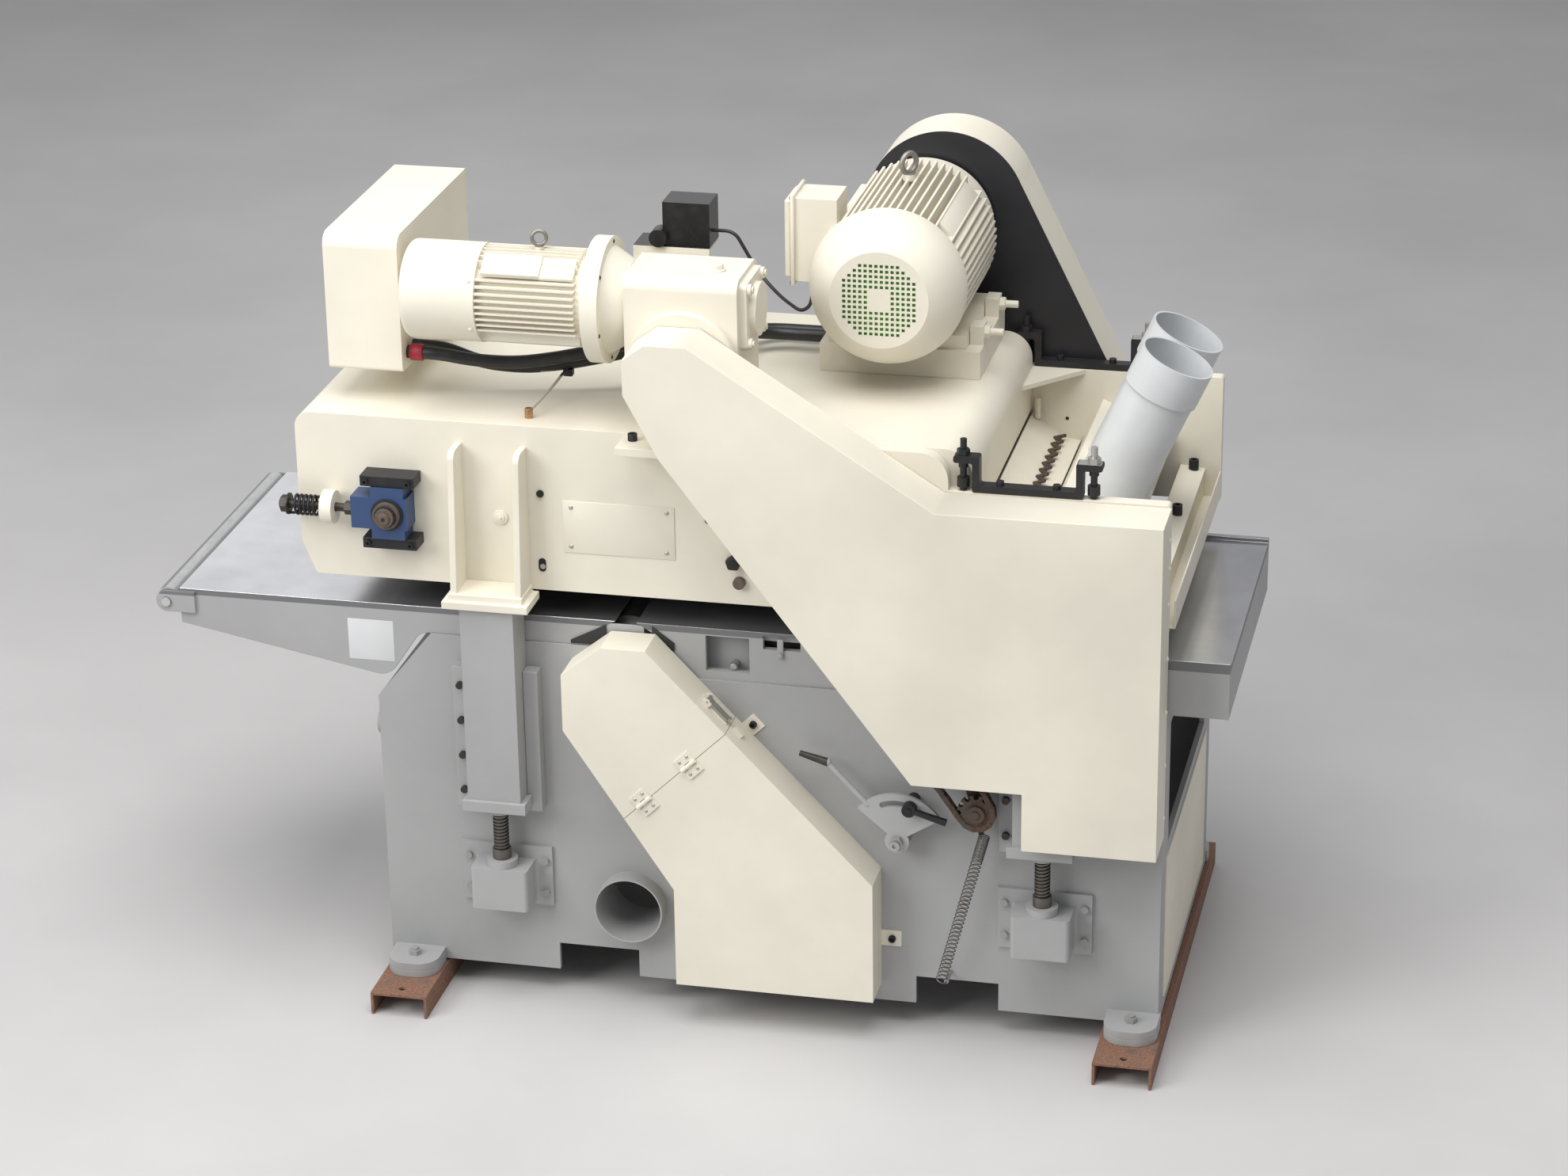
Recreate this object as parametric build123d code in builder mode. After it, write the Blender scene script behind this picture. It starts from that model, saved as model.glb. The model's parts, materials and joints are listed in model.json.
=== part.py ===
from build123d import *
import os
from math import cos, pi, radians, sin, sqrt, tan

os.makedirs("parts", exist_ok=True)

# Every place below is measured from the base's left end, its front face and the floor.
# Base box
base_length = 1700.0
base_depth = 800.0
base_bottom = 59.0
wall = 12.0
rail_drop = 116.0
rail_depth = 48.0
rail_gap = 5.0
shoulder_drop = 60.0
shoulder_inset = 70.0
chamfer_drop = 214.0
chamfer_run = 124.0
slope_drop = 19.0
fork_left = 384.0
fork_right = 1177.0
fork_width = 179.0
fork_height = 64.0
end_opening_bottom = 450.0
end_opening_drop = 57.0
end_opening_front = 95.0
end_opening_inset = 100.0
panel_bottom = 92.0
panel_gap = 25.0
panel_sheet = 3.0

# Skids and feet
skid_width = 126.0
skid_height = 53.0
skid_wall = 6.0
skid_front_reach = 175.0
skid_rear_reach = 105.0
skid_inset = 66.0
skid_right_inset = 52.0
skid_hole_radius = 8.0
skid_hole_inset = 30.0
foot_width = 114.0
foot_reach = 92.0
foot_rear_reach = 64.0
foot_round = 45.0
foot_plate = 17.0
foot_bolt_radius = 8.0
foot_bolt_reach = 44.0
foot_rear_bolt_reach = 34.0
foot_bolt_below = 14.0
foot_bolt_above = 16.0
foot_nut = 24.0
foot_nut_height = 11.0

# Tables
table_top = 898.0
table_plate = 24.0
table_front = 5.0
table_rear_inset = 91.0
skirt = 14.0
infeed_reach = 440.0
infeed_end_height = 80.0
knee_x = 25.0
knee_drop = 170.0
knee_round = 42.0
throat_x = 100.0
outfeed_overhang = 129.5
mouth_gap = 22.0
mouth_bevel = 40.0
strip_height = 8.0
strip_length = 330.0
pocket_offset = 172.0
pocket_width = 94.0
pocket_drop = 97.0
pocket_height = 80.0
slot_offset = 124.0
slot_width = 80.0
slot_drop = 38.0
slot_height = 30.0
roller_reach = 468.0
roller_drop = 30.0
roller_radius = 28.0
roller_end_gap = 1.0
axle_radius = 10.0
axle_reach = 6.0
bracket_plate = 8.0
bracket_radius = 24.0
bracket_tail = 36.0

# Running fits and gaps
fit = 0.05
gap = 0.5
slide_gap = 1.0
band_gap = 0.4

# Lower cutterhead, its motor and belts
lower_cutter_x = 555.0
lower_cutter_drop = 64.0
cutter_radius = 61.0
knife_radius = 63.3
knife_width = 8.0
knife_count = 4
cutter_side = 42.0
journal_radius = 20.0
journal_end_gap = 2.0
pedestal_radius = 36.0
lower_motor_x = 885.0
lower_motor_z = 240.0
lower_motor_radius = 104.0
lower_motor_length = 280.0
lower_motor_front = 90.0
lower_fan_length = 90.0
lower_fan_step = 4.0
lower_shield_radius = 83.2
lower_shield_length = 22.0
lower_fin = 7.0
lower_fin_pitch = 14.0
lower_fin_thickness = 4.0
fin_spread = 0.6
lower_foot_half = 100.0
lower_foot_inset = 30.0
lower_foot_drop = 60.0
motor_shelf_top = 112.0
motor_shelf_margin = 40.0
motor_shelf_reach = 40.0
motor_shaft_radius = 19.0
motor_shaft_depth = 50.0
motor_shaft_room = 10.0
shaft_window = 60.0
shaft_stub = 4.0
pulley_near = 18.0
belt_pitch = 20.0
belt_count = 3
belt_width = 11.0
belt_height = 8.0
belt_proud = 1.0
lower_motor_pulley_radius = 80.0
lower_cutter_pulley_radius = 36.0

# Lower belt cover and its flap
sheet = 3.0
belt_cover_depth = 95.0
cover_foot_z = 101.0
cover_foot_left = 670.0
cover_foot_right = 1102.0
cover_knee_z = 378.0
cover_left_knee_z = 328.0
cover_top_drop = 20.0
cover_top_before = 30.0
cover_top_after = 66.0
cover_cheek_before = 118.0
cover_cheek_drop = 89.0
cover_cheek_height = 128.0
seam_share_left = 0.45
seam_clear = 0.6
hinge_offsets = (64.0, 201.0)
hinge_half = 20.0
hinge_leaf = 26.0
leaf_sheet = 4.0
leaf_clear = 1.5
knuckle_radius = 5.0
knuckle_half = 6.7
pin_radius = 2.4
latch_length = 62.0
latch_width = 24.0
latch_seat = 3.0
latch_seat_low = 10.0
latch_seat_beyond = 22.0
latch_lever = 5.0
latch_lever_low = 14.0
latch_hook = 9.0
latch_hook_low = 8.0
latch_hook_inset = 5.0
latch_eye = 4.5
latch_pin_radius = 2.5
latch_pin_rise = 10.0
ear_reach = 11.0
ear_sheet = 6.0
ear_radius = 5.0
ear_edge = 3.0
ear_length = 20.0
keeper_half = 8.0
keeper_reach = 8.0
keeper_span = (-34.0, -10.0)
tab_reach = 36.0
tab_span = (-56.0, -20.0)
foot_tab_reach = 44.0
foot_tab_span = (92.0, 128.0)

# Lower dust outlet
outlet_x = 552.0
outlet_z = 237.0
outlet_radius = 76.0
outlet_reach = 40.0
outlet_wall = 4.0
outlet_depth = 120.0

# Lift screws, columns and jacks
lift_left = 276.0
lift_right_inset = 244.5
lift_rear_right = 1000.0
screw_reach = 45.0
screw_radius = 17.0
screw_journal_radius = 20.0
screw_drop = 18.0
screw_floor = 14.0
nut_clearance = 0.4
jack_plate_bottom = 218.0
jack_plate_height = 140.0
jack_plate_width = 202.0
jack_plate = 8.0
jack_box_bottom = 232.0
jack_box_height = 96.0
jack_box_width = 126.0
jack_box_reach = 80.0
jack_box_round = 9.0
jack_ring_radius = 34.0
jack_ring_height = 17.0
jack_journal_rise = 24.0
jack_bolt_inset = 15.0
jack_bolt_rise = 32.0
column_width = 117.0
column_reach = 85.0
column_wall = 10.0
column_drop = 403.0
nut_plate = 25.0
nut_plate_width = 140.0
nut_plate_lip = 6.0
nut_ring_radius = 30.0
nut_ring_height = 14.0
strip_drop = 443.0
strip_depth = 34.0
strip_wide = 38.0
strip_narrow = 32.0
gib_bolt_count = 4
gib_bolt_inset = 21.0
bolt_head = 16.0
bolt_head_height = 9.0

# Adjusting lever and its clamp
lever_x = 1145.0
lever_z = 464.0
lever_radius = 110.0
lever_from = 32.0
lever_sweep = 108.0
lever_hub = 26.0
lever_pin_radius = 10.0
lever_pin_reach = 14.0
lever_nut = 26.0
lever_plate = 8.0
lever_standoff = 38.0
lever_rod_radius = 6.0
rod_start_place = (-62.0, 79.0)
rod_bend_place = (-149.0, 170.0)
grip_end_place = (-208.0, 186.0)
grip_radius = 9.0
slot_radius = 88.0
slot_half = 7.0
slot_from = 50.0
slot_to = 110.0
clamp_angle = 71.0
clamp_stud_radius = 6.0
clamp_stud_reach = 22.0
clamp_stud_root = 4.0
clamp_boss_radius = 13.0
clamp_boss_gap = 8.0
clamp_hub_radius = 15.0
clamp_hub_reach = 20.0
clamp_arm_reach = 13.0
clamp_arm_run = (80.0, -4.0, -21.0)
clamp_arm_radius = 6.5
clamp_tip_radius = 8.0

# Feed chain, sprockets and the tension arm
chain_pitch = 19.05
chain_reach = 65.0
chain_inner_half = 6.0
chain_plate = 2.5
chain_plate_half = 6.0
chain_roller_radius = 5.5
tooth_half = 5.7
tooth_height = 4.0
gearbox_teeth = 17
drive_teeth = 20
feed_teeth = 14
tension_teeth = 12
tension_offset = 238.0
tension_drop = 341.0
tension_hub_radius = 19.0
tension_hub_reach = 13.0
tension_pin_reach = 16.0
arm_pivot_before = 28.0
arm_pivot_rise = 123.0
arm_plate = 8.0
arm_standoff = 40.0
arm_pin_radius = 8.0
arm_pivot_round = 16.0
arm_round = 15.0
arm_tail_round = 5.0
arm_boss_radius = 17.0
arm_bolt_reach = 7.0
arm_nut = 22.0
hook_rise = 16.0
hook_lip = 1.6
hook_before = 3.0
hook_after = 8.0
feed_roller_offset = 160.0
feed_roller_radius = 32.0
feed_roller_end_gap = 2.0
feed_roller_room = 3.0
feed_journal_radius = 14.0
feed_shaft_reach = 12.0

# Tension spring
spring_top_after = 15.0
spring_top_drop = 59.0
spring_foot_before = 77.0
spring_foot_z = 146.0
spring_radius = 11.0
spring_wire = 2.6
tight_coils = 14
open_coils = 30
tight_pitch = 4.3
anchor_radius = 5.0

# Head plates and top shell
head_left = 152.0
head_gap = 62.0
head_right_offset = 260.0
plate = 28.0
plate_nose = 8.0
front_plate_overhang = 0.0
rear_plate_overhang = 12.0
hood_step_offset = 165.0
hood_step = 79.0
corner_run = 30.0
corner_rise = 76.0
corner_round = 12.0
corner_high = 35.0
shell_sheet = 10.0
shell_clearance = 8.0
shell_tail = 45.0
shell_tail_rise = 190.0
shell_round = 60.0
gusset_run = 119.0
gusset_depth = 134.0
gusset_sheet = 10.0
cheek_sheet = 6.0

# Column brackets on the head
bracket_gap = 42.0
bracket_width = 187.0
bracket_reach = 95.0
bracket_step = 17.0
bracket_upper_inset = 13.5
bracket_upper_reach = 85.0
bracket_upper_step = 14.0
rib_offset = 70.0
rib_thickness = 14.0
rib_reach = 80.0
rib_top_reach = 58.0
rib_drop = 46.0
rib_round = 20.0

# Feed track with its drums and the take-up
work_gap = 54.0
idler_x = 62.0
track_length = 1018.0
drum_radius = 150.0
drum_wall = 15.0
drum_margin = 42.0
track_thickness = 28.0
track_margin = 30.0
drive_shaft_radius = 25.0
drive_shaft_reach = 16.0
drive_shaft_inset = 2.0
idler_shaft_radius = 20.0
idler_shaft_reach = 26.0
takeup_slot_half = 40.0
takeup_slot_gap = 4.0
takeup_reach = 36.0
takeup_width = 84.0
takeup_height = 114.0
takeup_depth = 58.0
takeup_waist = 22.0
takeup_corner = 6.0
takeup_face = 8.0
guide_length = 118.0
guide_height = 24.0
guide_depth = 52.0
takeup_ring_radius = 36.0
takeup_ring_offset = 147.0
takeup_ring_length = 27.0
takeup_shank = 80.0
takeup_stop_nut = 18.0
takeup_stop_size = 26.0
takeup_rod_radius = 9.0
takeup_rod_stub = 4.0
takeup_rod_root = 20.0
takeup_washer = 4.0
takeup_spring_length = 74.0
takeup_spring_radius = 20.0
takeup_spring_wire = 6.0
takeup_spring_end = 12.0
takeup_turns = 5
takeup_nut_length = 18.0
takeup_nut_size = 32.0
collar_radius = 29.0
collar_length = 14.0

# Chain cover
chain_cover_depth = 122.0
chain_cover_drop = 393.0
chain_cover_step = 129.0
chain_cover_overhang = 3.0
chain_cover_step_inset = 33.5
chain_cover_toe = 110.0
chain_cover_neck_before = 23.0
chain_cover_neck_drop = 5.0
chain_cover_cheek_before = 93.0
chain_cover_cheek_below = 25.0
chain_cover_cheek_above = 51.0
chain_cover_top_rise = 85.0
chain_cover_top_before = 46.0
chain_cover_top_after = 42.0
chain_cover_elbow_before = 6.0
chain_cover_shelf_drop = 4.0
chain_cover_lift = 1.0
ledge_before = 99.0
ledge_after = 8.0
ledge_reach = 88.0
ledge_below = 13.0
ledge_above = 5.0
ledge_bolt_place = (26.0, -40.0)

# Feed motor and gearbox
feed_axis_y = 110.0
feed_axis_rise = 250.0
feed_body_radius = 88.0
feed_body_length = 212.0
feed_fin = 14.0
feed_fin_pitch = 13.5
feed_fin_thickness = 4.0
fan_left = 86.0
fan_length = 164.0
fan_radius = 104.0
fan_round = 14.0
feed_flange_gap = 22.0
feed_flange = 36.0
feed_flange_radius = 132.0
adapter_length = 46.0
adapter_radius = 112.0
adapter_end_radius = 84.0
gearbox_length = 239.0
gearbox_front = 20.0
gearbox_depth = 185.0
gearbox_rise = 69.0
gearbox_above = 82.0
gearbox_round = 28.0
gearbox_foot_round = 25.0
gearbox_foot_inset = 30.0
gearbox_foot_margin = 10.0
side_cover_half = 72.0
side_cover_round = 12.0
side_cover = 16.0
side_dome_radius = 56.0
side_dome = 30.0
side_lug_inset = 14.0
side_lug_radius = 12.0
side_lug = 24.0
output_offset = 124.0
output_rise = 152.0
output_flange_radius = 112.0
output_flange_front = 2.0
output_shaft_radius = 18.0
output_shaft_reach = 14.0
output_shaft_depth = 50.0
output_shaft_room = 10.0
feed_eye_radius = 15.0
feed_eye_turn = 15.0
main_eye_radius = 21.0
main_eye_turn = 55.0
eye_wire_share = 0.28
eye_foot_share = 0.65
eye_foot_root = 3.0
eye_sink = 2.0
feed_eye_offset = 116.6

# Main motor
main_before = 30.0
main_drive_gap = 8.0
main_shield_radius = 150.0
main_shield_length = 62.0
main_body_radius = 138.0
main_body_length = 364.0
main_body_lap = 6.0
main_fin = 28.0
main_fin_pitch = 16.5
main_fin_thickness = 5.0
main_shaft_radius = 21.0
main_shaft_depth = 60.0
main_shaft_room = 10.0
main_eye_offset = 40.0
cowl_face_radius = 105.0
cowl_radius = 168.0
cowl_length = 108.0
cowl_sheet = 3.0
grille_radius = 85.0
grille_pitch = 11.4
grille_hole = 7.2
grille_blank = 20.0
terminal_before = 210.0
terminal_offset = 34.0
terminal_depth = 105.0
terminal_below = 16.0
terminal_above = 166.0
terminal_lap = 20.0
motor_base_before = 168.0
motor_base_after = 181.0
motor_base_offset = 79.0
motor_base_inset = 40.0
motor_base_height = 64.0
foot_block = 30.0
foot_spread = 150.0
foot_inner = 60.0
foot_end_gap = 10.0
lug_inset = 60.0
lug_half = 22.0
lug_thickness = 30.0
lug_height = 44.0
lug_bolt_rise = 26.0
lug_bolt_radius = 8.0
lug_bolt_length = 40.0
lug_nut = 26.0
lug_nut_length = 12.0

# Upper cutterhead, its belts and their cover
upper_cutter_offset = 360.0
upper_cutter_rise = 112.0
upper_cutter_gap = 10.0
upper_journal_radius = 22.0
upper_journal_reach = 30.0
upper_cover_gap = 3.0
upper_cover_depth = 145.0
upper_cover_after = 40.0
upper_cover_rise = 29.0
upper_cover_radius = 178.0
upper_cover_foot_radius = 120.0
upper_pulley_near = 14.0
upper_belt_count = 4
upper_motor_pulley_radius = 85.0
upper_cutter_pulley_radius = 55.0
motor_window = 104.0
stay_radius = 12.0
stay_places = ((-85.0, 40.0), (75.0, -20.0), (-140.0, 190.0))

# Dust hood, pipes and the outfeed end
pipe_foot_offset = 89.0
pipe_foot_rise = 134.0
pipe_lean = 24.4
pipe_length = 336.0
pipe_radius = 75.0
pipe_wall = 4.0
socket_radius = 80.0
socket_length = 82.0
pipe_first_y = 318.0
pipe_pitch = 164.0
pipe_count = 2
hood_half = 88.0
hood_height = 100.0
hood_sheet = 6.0
breaker_start = (-148.0, 131.0)
breaker_end = (-83.0, 79.0)
breaker_thickness = 12.0
press_start = (-81.0, 75.0)
press_end = (-40.0, 70.0)
press_bar = 8.0
channel_inset = 28.0
channel_width = 40.0
channel_rise = 6.0
channel_height = 62.0
slope_start = (-77.0, 80.0)
slope_end = (-22.0, 73.0)
slope_bar = 10.0

# Pressure brackets on the head plates
hat_offset = 10.0
hat_length = 306.0
hat_arm = 54.0
hat_rise = 62.0
hat_bar = 15.0
hat_width = 28.0
hat_round = 5.0
hat_bolt_shares = (0.31, 0.69)
stud_radius = 7.0
stud_inset = 19.0
stud_above = 34.0
stud_nut = 24.0
stud_nut_height = 12.0
knurl_radius = 13.0
knurl_height = 20.0
knurl_rise = 8.0
stud_collar_radius = 10.0
stud_collar_height = 12.0

# Control box, switch box and cords
control_left = -97.0
control_width = 162.0
control_front = 85.0
control_depth = 500.0
control_rise = 69.0
control_height = 297.0
control_round = 30.0
control_foot_round = 8.0
control_edge = 2.5
pedestal_offset = 315.0
pedestal_depth = 140.0
pedestal_inset = 35.0
button_radius = 11.0
button_reach = 9.0
button_travel = 4.0
button_seat = 8.0
button_offset = 105.0
button_pitch = 90.0
button_rise = 215.0
switch_left = 500.0
switch_width = 105.0
switch_inset = 194.0
switch_depth = 82.0
switch_rise = 207.0
switch_height = 99.0
switch_plate = 6.0
switch_plate_before = 66.0
switch_hole_radius = 5.0
switch_hole_inset = 28.0
switch_hole_drop = 24.0
switch_dial_radius = 20.0
switch_dial_before = 8.0
switch_dial_rise = 20.0
switch_dial_span = (-16.0, 24.0)
conduit_radius = 14.0
cable_radius = 4.0
grease_radius = 3.0
nipple_radius = 8.0

# Heights that follow the table's top
base_top = table_top - rail_drop
shoulder_top = table_top - shoulder_drop
chamfer_start = table_top - chamfer_drop
end_opening_top = base_top - end_opening_drop
knee_z = table_top - knee_drop
pocket_bottom = table_top - pocket_drop
slot_bottom = table_top - slot_drop
roller_z = table_top - roller_drop
lower_cutter_z = table_top - lower_cutter_drop
feed_roller_z = table_top - feed_roller_radius + band_gap
cover_top = table_top - cover_top_drop
cover_cheek_high = table_top - cover_cheek_drop
cover_cheek_low = cover_cheek_high - cover_cheek_height
screw_top = table_top - screw_drop
column_bottom = table_top - column_drop
strip_bottom = table_top - strip_drop
tension_z = table_top - tension_drop
arm_pivot_z = tension_z + arm_pivot_rise
spring_top_z = tension_z - spring_top_drop
chain_cover_low = table_top - chain_cover_drop
chain_cover_step_z = chain_cover_low + chain_cover_step
head_bottom = table_top + head_gap
bracket_bottom = table_top + bracket_gap
track_z = table_top + work_gap + track_thickness + drum_radius
upper_cutter_z = table_top + upper_cutter_rise
pipe_foot_z = upper_cutter_z + pipe_foot_rise
channel_bottom = head_bottom + channel_rise

# Heights that follow the head's top
head_top = track_z + drum_radius + track_thickness + shell_clearance + shell_sheet
shell_left_bottom = head_bottom + corner_rise
shell_right_bottom = head_bottom + shell_tail_rise
hood_step_z = head_top - hood_step
rib_top = head_top - rib_drop
feed_axis_z = head_top + feed_axis_rise
gearbox_bottom = head_top + gearbox_rise
gearbox_top = feed_axis_z + gearbox_above
output_z = head_top + output_rise
chain_cover_neck_z = head_top - chain_cover_neck_drop
chain_cover_cheek_low = output_z - chain_cover_cheek_below
chain_cover_cheek_high = output_z + chain_cover_cheek_above
chain_cover_top = output_z + chain_cover_top_rise
chain_cover_shelf = hood_step_z - chain_cover_shelf_drop
motor_base_top = head_top + motor_base_height
main_z = motor_base_top + main_body_radius + main_fin
terminal_bottom = main_z - terminal_below
terminal_top = main_z + terminal_above
upper_cover_z = main_z + upper_cover_rise
control_bottom = head_top + control_rise
control_top = control_bottom + control_height
button_z = control_bottom + button_rise
switch_bottom = head_top + switch_rise

# Places along the machine that follow the cutters, the track and the gearbox
shoulder_end = lower_cutter_x - shoulder_inset
pocket_left = lower_cutter_x + pocket_offset
slot_left = pocket_left + slot_offset
cover_top_left = lower_cutter_x - cover_top_before
cover_top_right = lower_cutter_x + cover_top_after
cover_cheek_x = lower_cutter_x - cover_cheek_before
drive_x = idler_x + track_length
takeup_ring_left = idler_x - takeup_ring_offset
feed_roller_x = drive_x + feed_roller_offset
tension_x = drive_x + tension_offset
arm_pivot_x = tension_x - arm_pivot_before
spring_top_x = tension_x + spring_top_after
spring_foot_x = tension_x - spring_foot_before
upper_cutter_x = drive_x + upper_cutter_offset
head_right = upper_cutter_x + head_right_offset
lift_right = head_right - lift_right_inset
hood_step_x = drive_x + hood_step_offset
shell_right = hood_step_x + shell_tail
hat_left = hood_step_x + hat_offset
pipe_foot_x = upper_cutter_x + pipe_foot_offset
channel_left = head_right - channel_inset
main_x = drive_x - main_before
motor_base_left = main_x - motor_base_before
motor_base_right = main_x + motor_base_after
terminal_left = main_x - terminal_before
upper_cover_x = main_x + upper_cover_after
fan_right = fan_left + fan_length
feed_body_right = fan_right + feed_body_length
feed_flange_left = feed_body_right + feed_flange_gap
feed_flange_right = feed_flange_left + feed_flange
gearbox_left = feed_flange_right + adapter_length
gearbox_right = gearbox_left + gearbox_length
output_x = gearbox_left + output_offset
chain_cover_right = head_right + chain_cover_overhang
chain_cover_step_x = lift_right - chain_cover_step_inset
chain_cover_toe_x = drive_x + chain_cover_toe
chain_cover_neck_x = output_x - chain_cover_neck_before
chain_cover_cheek_x = output_x - chain_cover_cheek_before
chain_cover_top_left = output_x - chain_cover_top_before
chain_cover_top_right = output_x + chain_cover_top_after
chain_cover_elbow_x = hood_step_x - chain_cover_elbow_before
control_right = control_left + control_width
switch_plate_left = switch_left - switch_plate_before
switch_plate_right = switch_left + switch_width

# Places across the machine that follow its depth
table_back = base_depth - table_rear_inset
end_opening_back = base_depth - end_opening_inset
main_drive_end = base_depth - main_drive_gap
main_body_back = main_drive_end - main_shield_length
cowl_back = main_body_back - main_body_length
cowl_front = cowl_back - cowl_length
terminal_front = cowl_back + terminal_offset
terminal_back = terminal_front + terminal_depth
motor_base_front = cowl_back + motor_base_offset
motor_base_back = main_drive_end - motor_base_inset
gearbox_back = gearbox_front + gearbox_depth
control_back = control_front + control_depth
pedestal_front = control_front + pedestal_offset
pedestal_back = pedestal_front + pedestal_depth
button_first_y = control_front + button_offset
switch_front = base_depth - switch_inset

# The origin is the middle of the whole machine's box, on the floor
right_reach = base_length + outfeed_overhang
left_reach = roller_reach + roller_radius
rear_reach = base_depth + upper_cover_gap + upper_cover_depth
base_left = -(right_reach - left_reach) / 2
base_front = -(rear_reach - skid_front_reach) / 2

# Places that several pieces share
skid_centres = (skid_inset, base_length - skid_right_inset)
lifts = {
    "front_left": (lift_left, "front"),
    "front_right": (lift_right, "front"),
    "rear_left": (lift_left, "rear"),
    "rear_right": (lift_rear_right, "rear"),
}
cutter_span = (table_front + cutter_side, table_back - cutter_side)
belt_groove = belt_height - belt_proud
front_belts = [pulley_near + belt_pitch * (i + 0.5) for i in range(belt_count)]
lower_pulley_far = pulley_near + belt_pitch * belt_count
rear_belts = [upper_pulley_near + belt_pitch * (i + 0.5) for i in range(upper_belt_count)]
upper_pulley_far = upper_pulley_near + belt_pitch * upper_belt_count
lower_pulleys = (
    (lower_cutter_x, lower_cutter_z, lower_cutter_pulley_radius),
    (lower_motor_x, lower_motor_z, lower_motor_pulley_radius),
)
upper_pulleys = (
    (upper_cutter_x, upper_cutter_z, upper_cutter_pulley_radius),
    (main_x, main_z, upper_motor_pulley_radius),
)
drum_span = (plate + drum_margin, base_depth - plate - drum_margin)
inside = (plate, base_depth - plate)


def pitch_radius(teeth):
    """The pitch radius of a chain sprocket."""
    return chain_pitch / (2 * sin(pi / teeth))


# A stop with a radius below zero lies outside the loop, on the chain's back
chain_stops = (
    (output_x, output_z, pitch_radius(gearbox_teeth)),
    (drive_x, track_z, pitch_radius(drive_teeth)),
    (feed_roller_x, feed_roller_z, -pitch_radius(feed_teeth)),
    (tension_x, tension_z, pitch_radius(tension_teeth)),
)


def spot(x, y, z):
    """A point measured from the base's left end, its front face and the floor."""
    return Vector(base_left + x, base_front + y, z)


def drawing_plane(axis, span):
    """A plane square to an axis at one end of a span, so that its normal runs along the span."""
    if axis == "x":
        return Plane(origin=spot(span[0], 0, 0), x_dir=(0, 1, 0), z_dir=(1, 0, 0))
    if axis == "y":
        return Plane(origin=spot(0, span[1], 0), x_dir=(1, 0, 0), z_dir=(0, -1, 0))
    return Plane(origin=spot(0, 0, span[0]), x_dir=(1, 0, 0), z_dir=(0, 0, 1))


def length(span):
    """How long a (low, high) span is."""
    return span[1] - span[0]


def block(x, y, z, mode=Mode.ADD):
    """A box over three (low, high) spans."""
    with Locations(spot(sum(x) / 2, sum(y) / 2, sum(z) / 2)):
        Box(length(x), length(y), length(z), mode=mode)


def bar(axis, centre, span, radius, mode=Mode.ADD):
    """A round bar along an axis."""
    with BuildSketch(drawing_plane(axis, span)) as face:
        with Locations(centre):
            Circle(radius)
    extrude(face.sketch, amount=length(span), mode=mode)


def hexagon(axis, centre, span, size):
    """A hexagon bar, size across its flats, along an axis."""
    with BuildSketch(drawing_plane(axis, span)) as face:
        with Locations(centre):
            RegularPolygon(size / 2, 6, major_radius=False)
    extrude(face.sketch, amount=length(span))


def prism(axis, points, span, radii=0, mode=Mode.ADD):
    """An outline along an axis, with a radius for all its corners or one for each."""
    with BuildSketch(drawing_plane(axis, span)) as face:
        with BuildLine():
            FilletPolyline(*points, radius=radii, close=True)
        make_face()
    extrude(face.sketch, amount=length(span), mode=mode)


def inner_prism(points, thickness, span):
    """Cuts out an outline's inside, leaving a wall of one thickness."""
    with BuildSketch(drawing_plane("y", span)) as face:
        with BuildLine():
            Polyline(*points, close=True)
        make_face()
        offset(amount=-thickness, kind=Kind.INTERSECTION, mode=Mode.REPLACE)
    extrude(face.sketch, amount=length(span), mode=Mode.SUBTRACT)


def hull(circles, grow, span, mode=Mode.ADD):
    """The outline that a tight band round several circles makes, along y."""
    with BuildSketch(drawing_plane("y", span)) as face:
        for x, z, radius in circles:
            with Locations((x, z)):
                Circle(radius + grow)
        make_hull()
    extrude(face.sketch, amount=length(span), mode=mode)


def strand(first, second):
    """The straight run of a band from one stop to the next one clockwise."""
    start = Vector(first[0], first[1])
    end = Vector(second[0], second[1])
    way = (end - start).normalized()
    left = Vector(-way.Y, way.X)
    lean = (first[2] - second[2]) / (end - start).length
    side = left * sqrt(1 - lean * lean) + way * lean
    return start + side * first[2], end + side * second[2]


def loop(stops, grow, span, mode=Mode.ADD):
    """The outline of a band that passes stops on either side, along y."""
    grown = [(x, z, radius + grow) for x, z, radius in stops]
    runs = [strand(a, b) for a, b in zip(grown, grown[1:] + grown[:1])]
    with BuildSketch(drawing_plane("y", span)) as face:
        with BuildLine():
            for (start, end), (after, last) in zip(runs, runs[1:] + runs[:1]):
                Line(start, end)
                TangentArc(end, after, tangent=end - start)
        make_face()
    extrude(face.sketch, amount=length(span), mode=mode)


def strut(start, end, radius, end_radius=None):
    """A round rod between two points, tapered if it has a second radius."""
    along = end - start
    plane = Plane(origin=start, z_dir=along)
    if end_radius is None:
        with BuildSketch(plane) as face:
            Circle(radius)
        extrude(face.sketch, amount=along.length)
    else:
        with BuildSketch(plane) as near:
            Circle(radius)
        with BuildSketch(plane.offset(along.length)) as far:
            Circle(end_radius)
        loft([near.sketch.face(), far.sketch.face()])


def reach(side, near, far):
    """A span of depth that stands out from the base's front or rear face."""
    if side == "front":
        return (-far, -near)
    return (base_depth + near, base_depth + far)


def out(side, distance):
    """The depth that lies a distance out from the base's front or rear face."""
    return -distance if side == "front" else base_depth + distance


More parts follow.
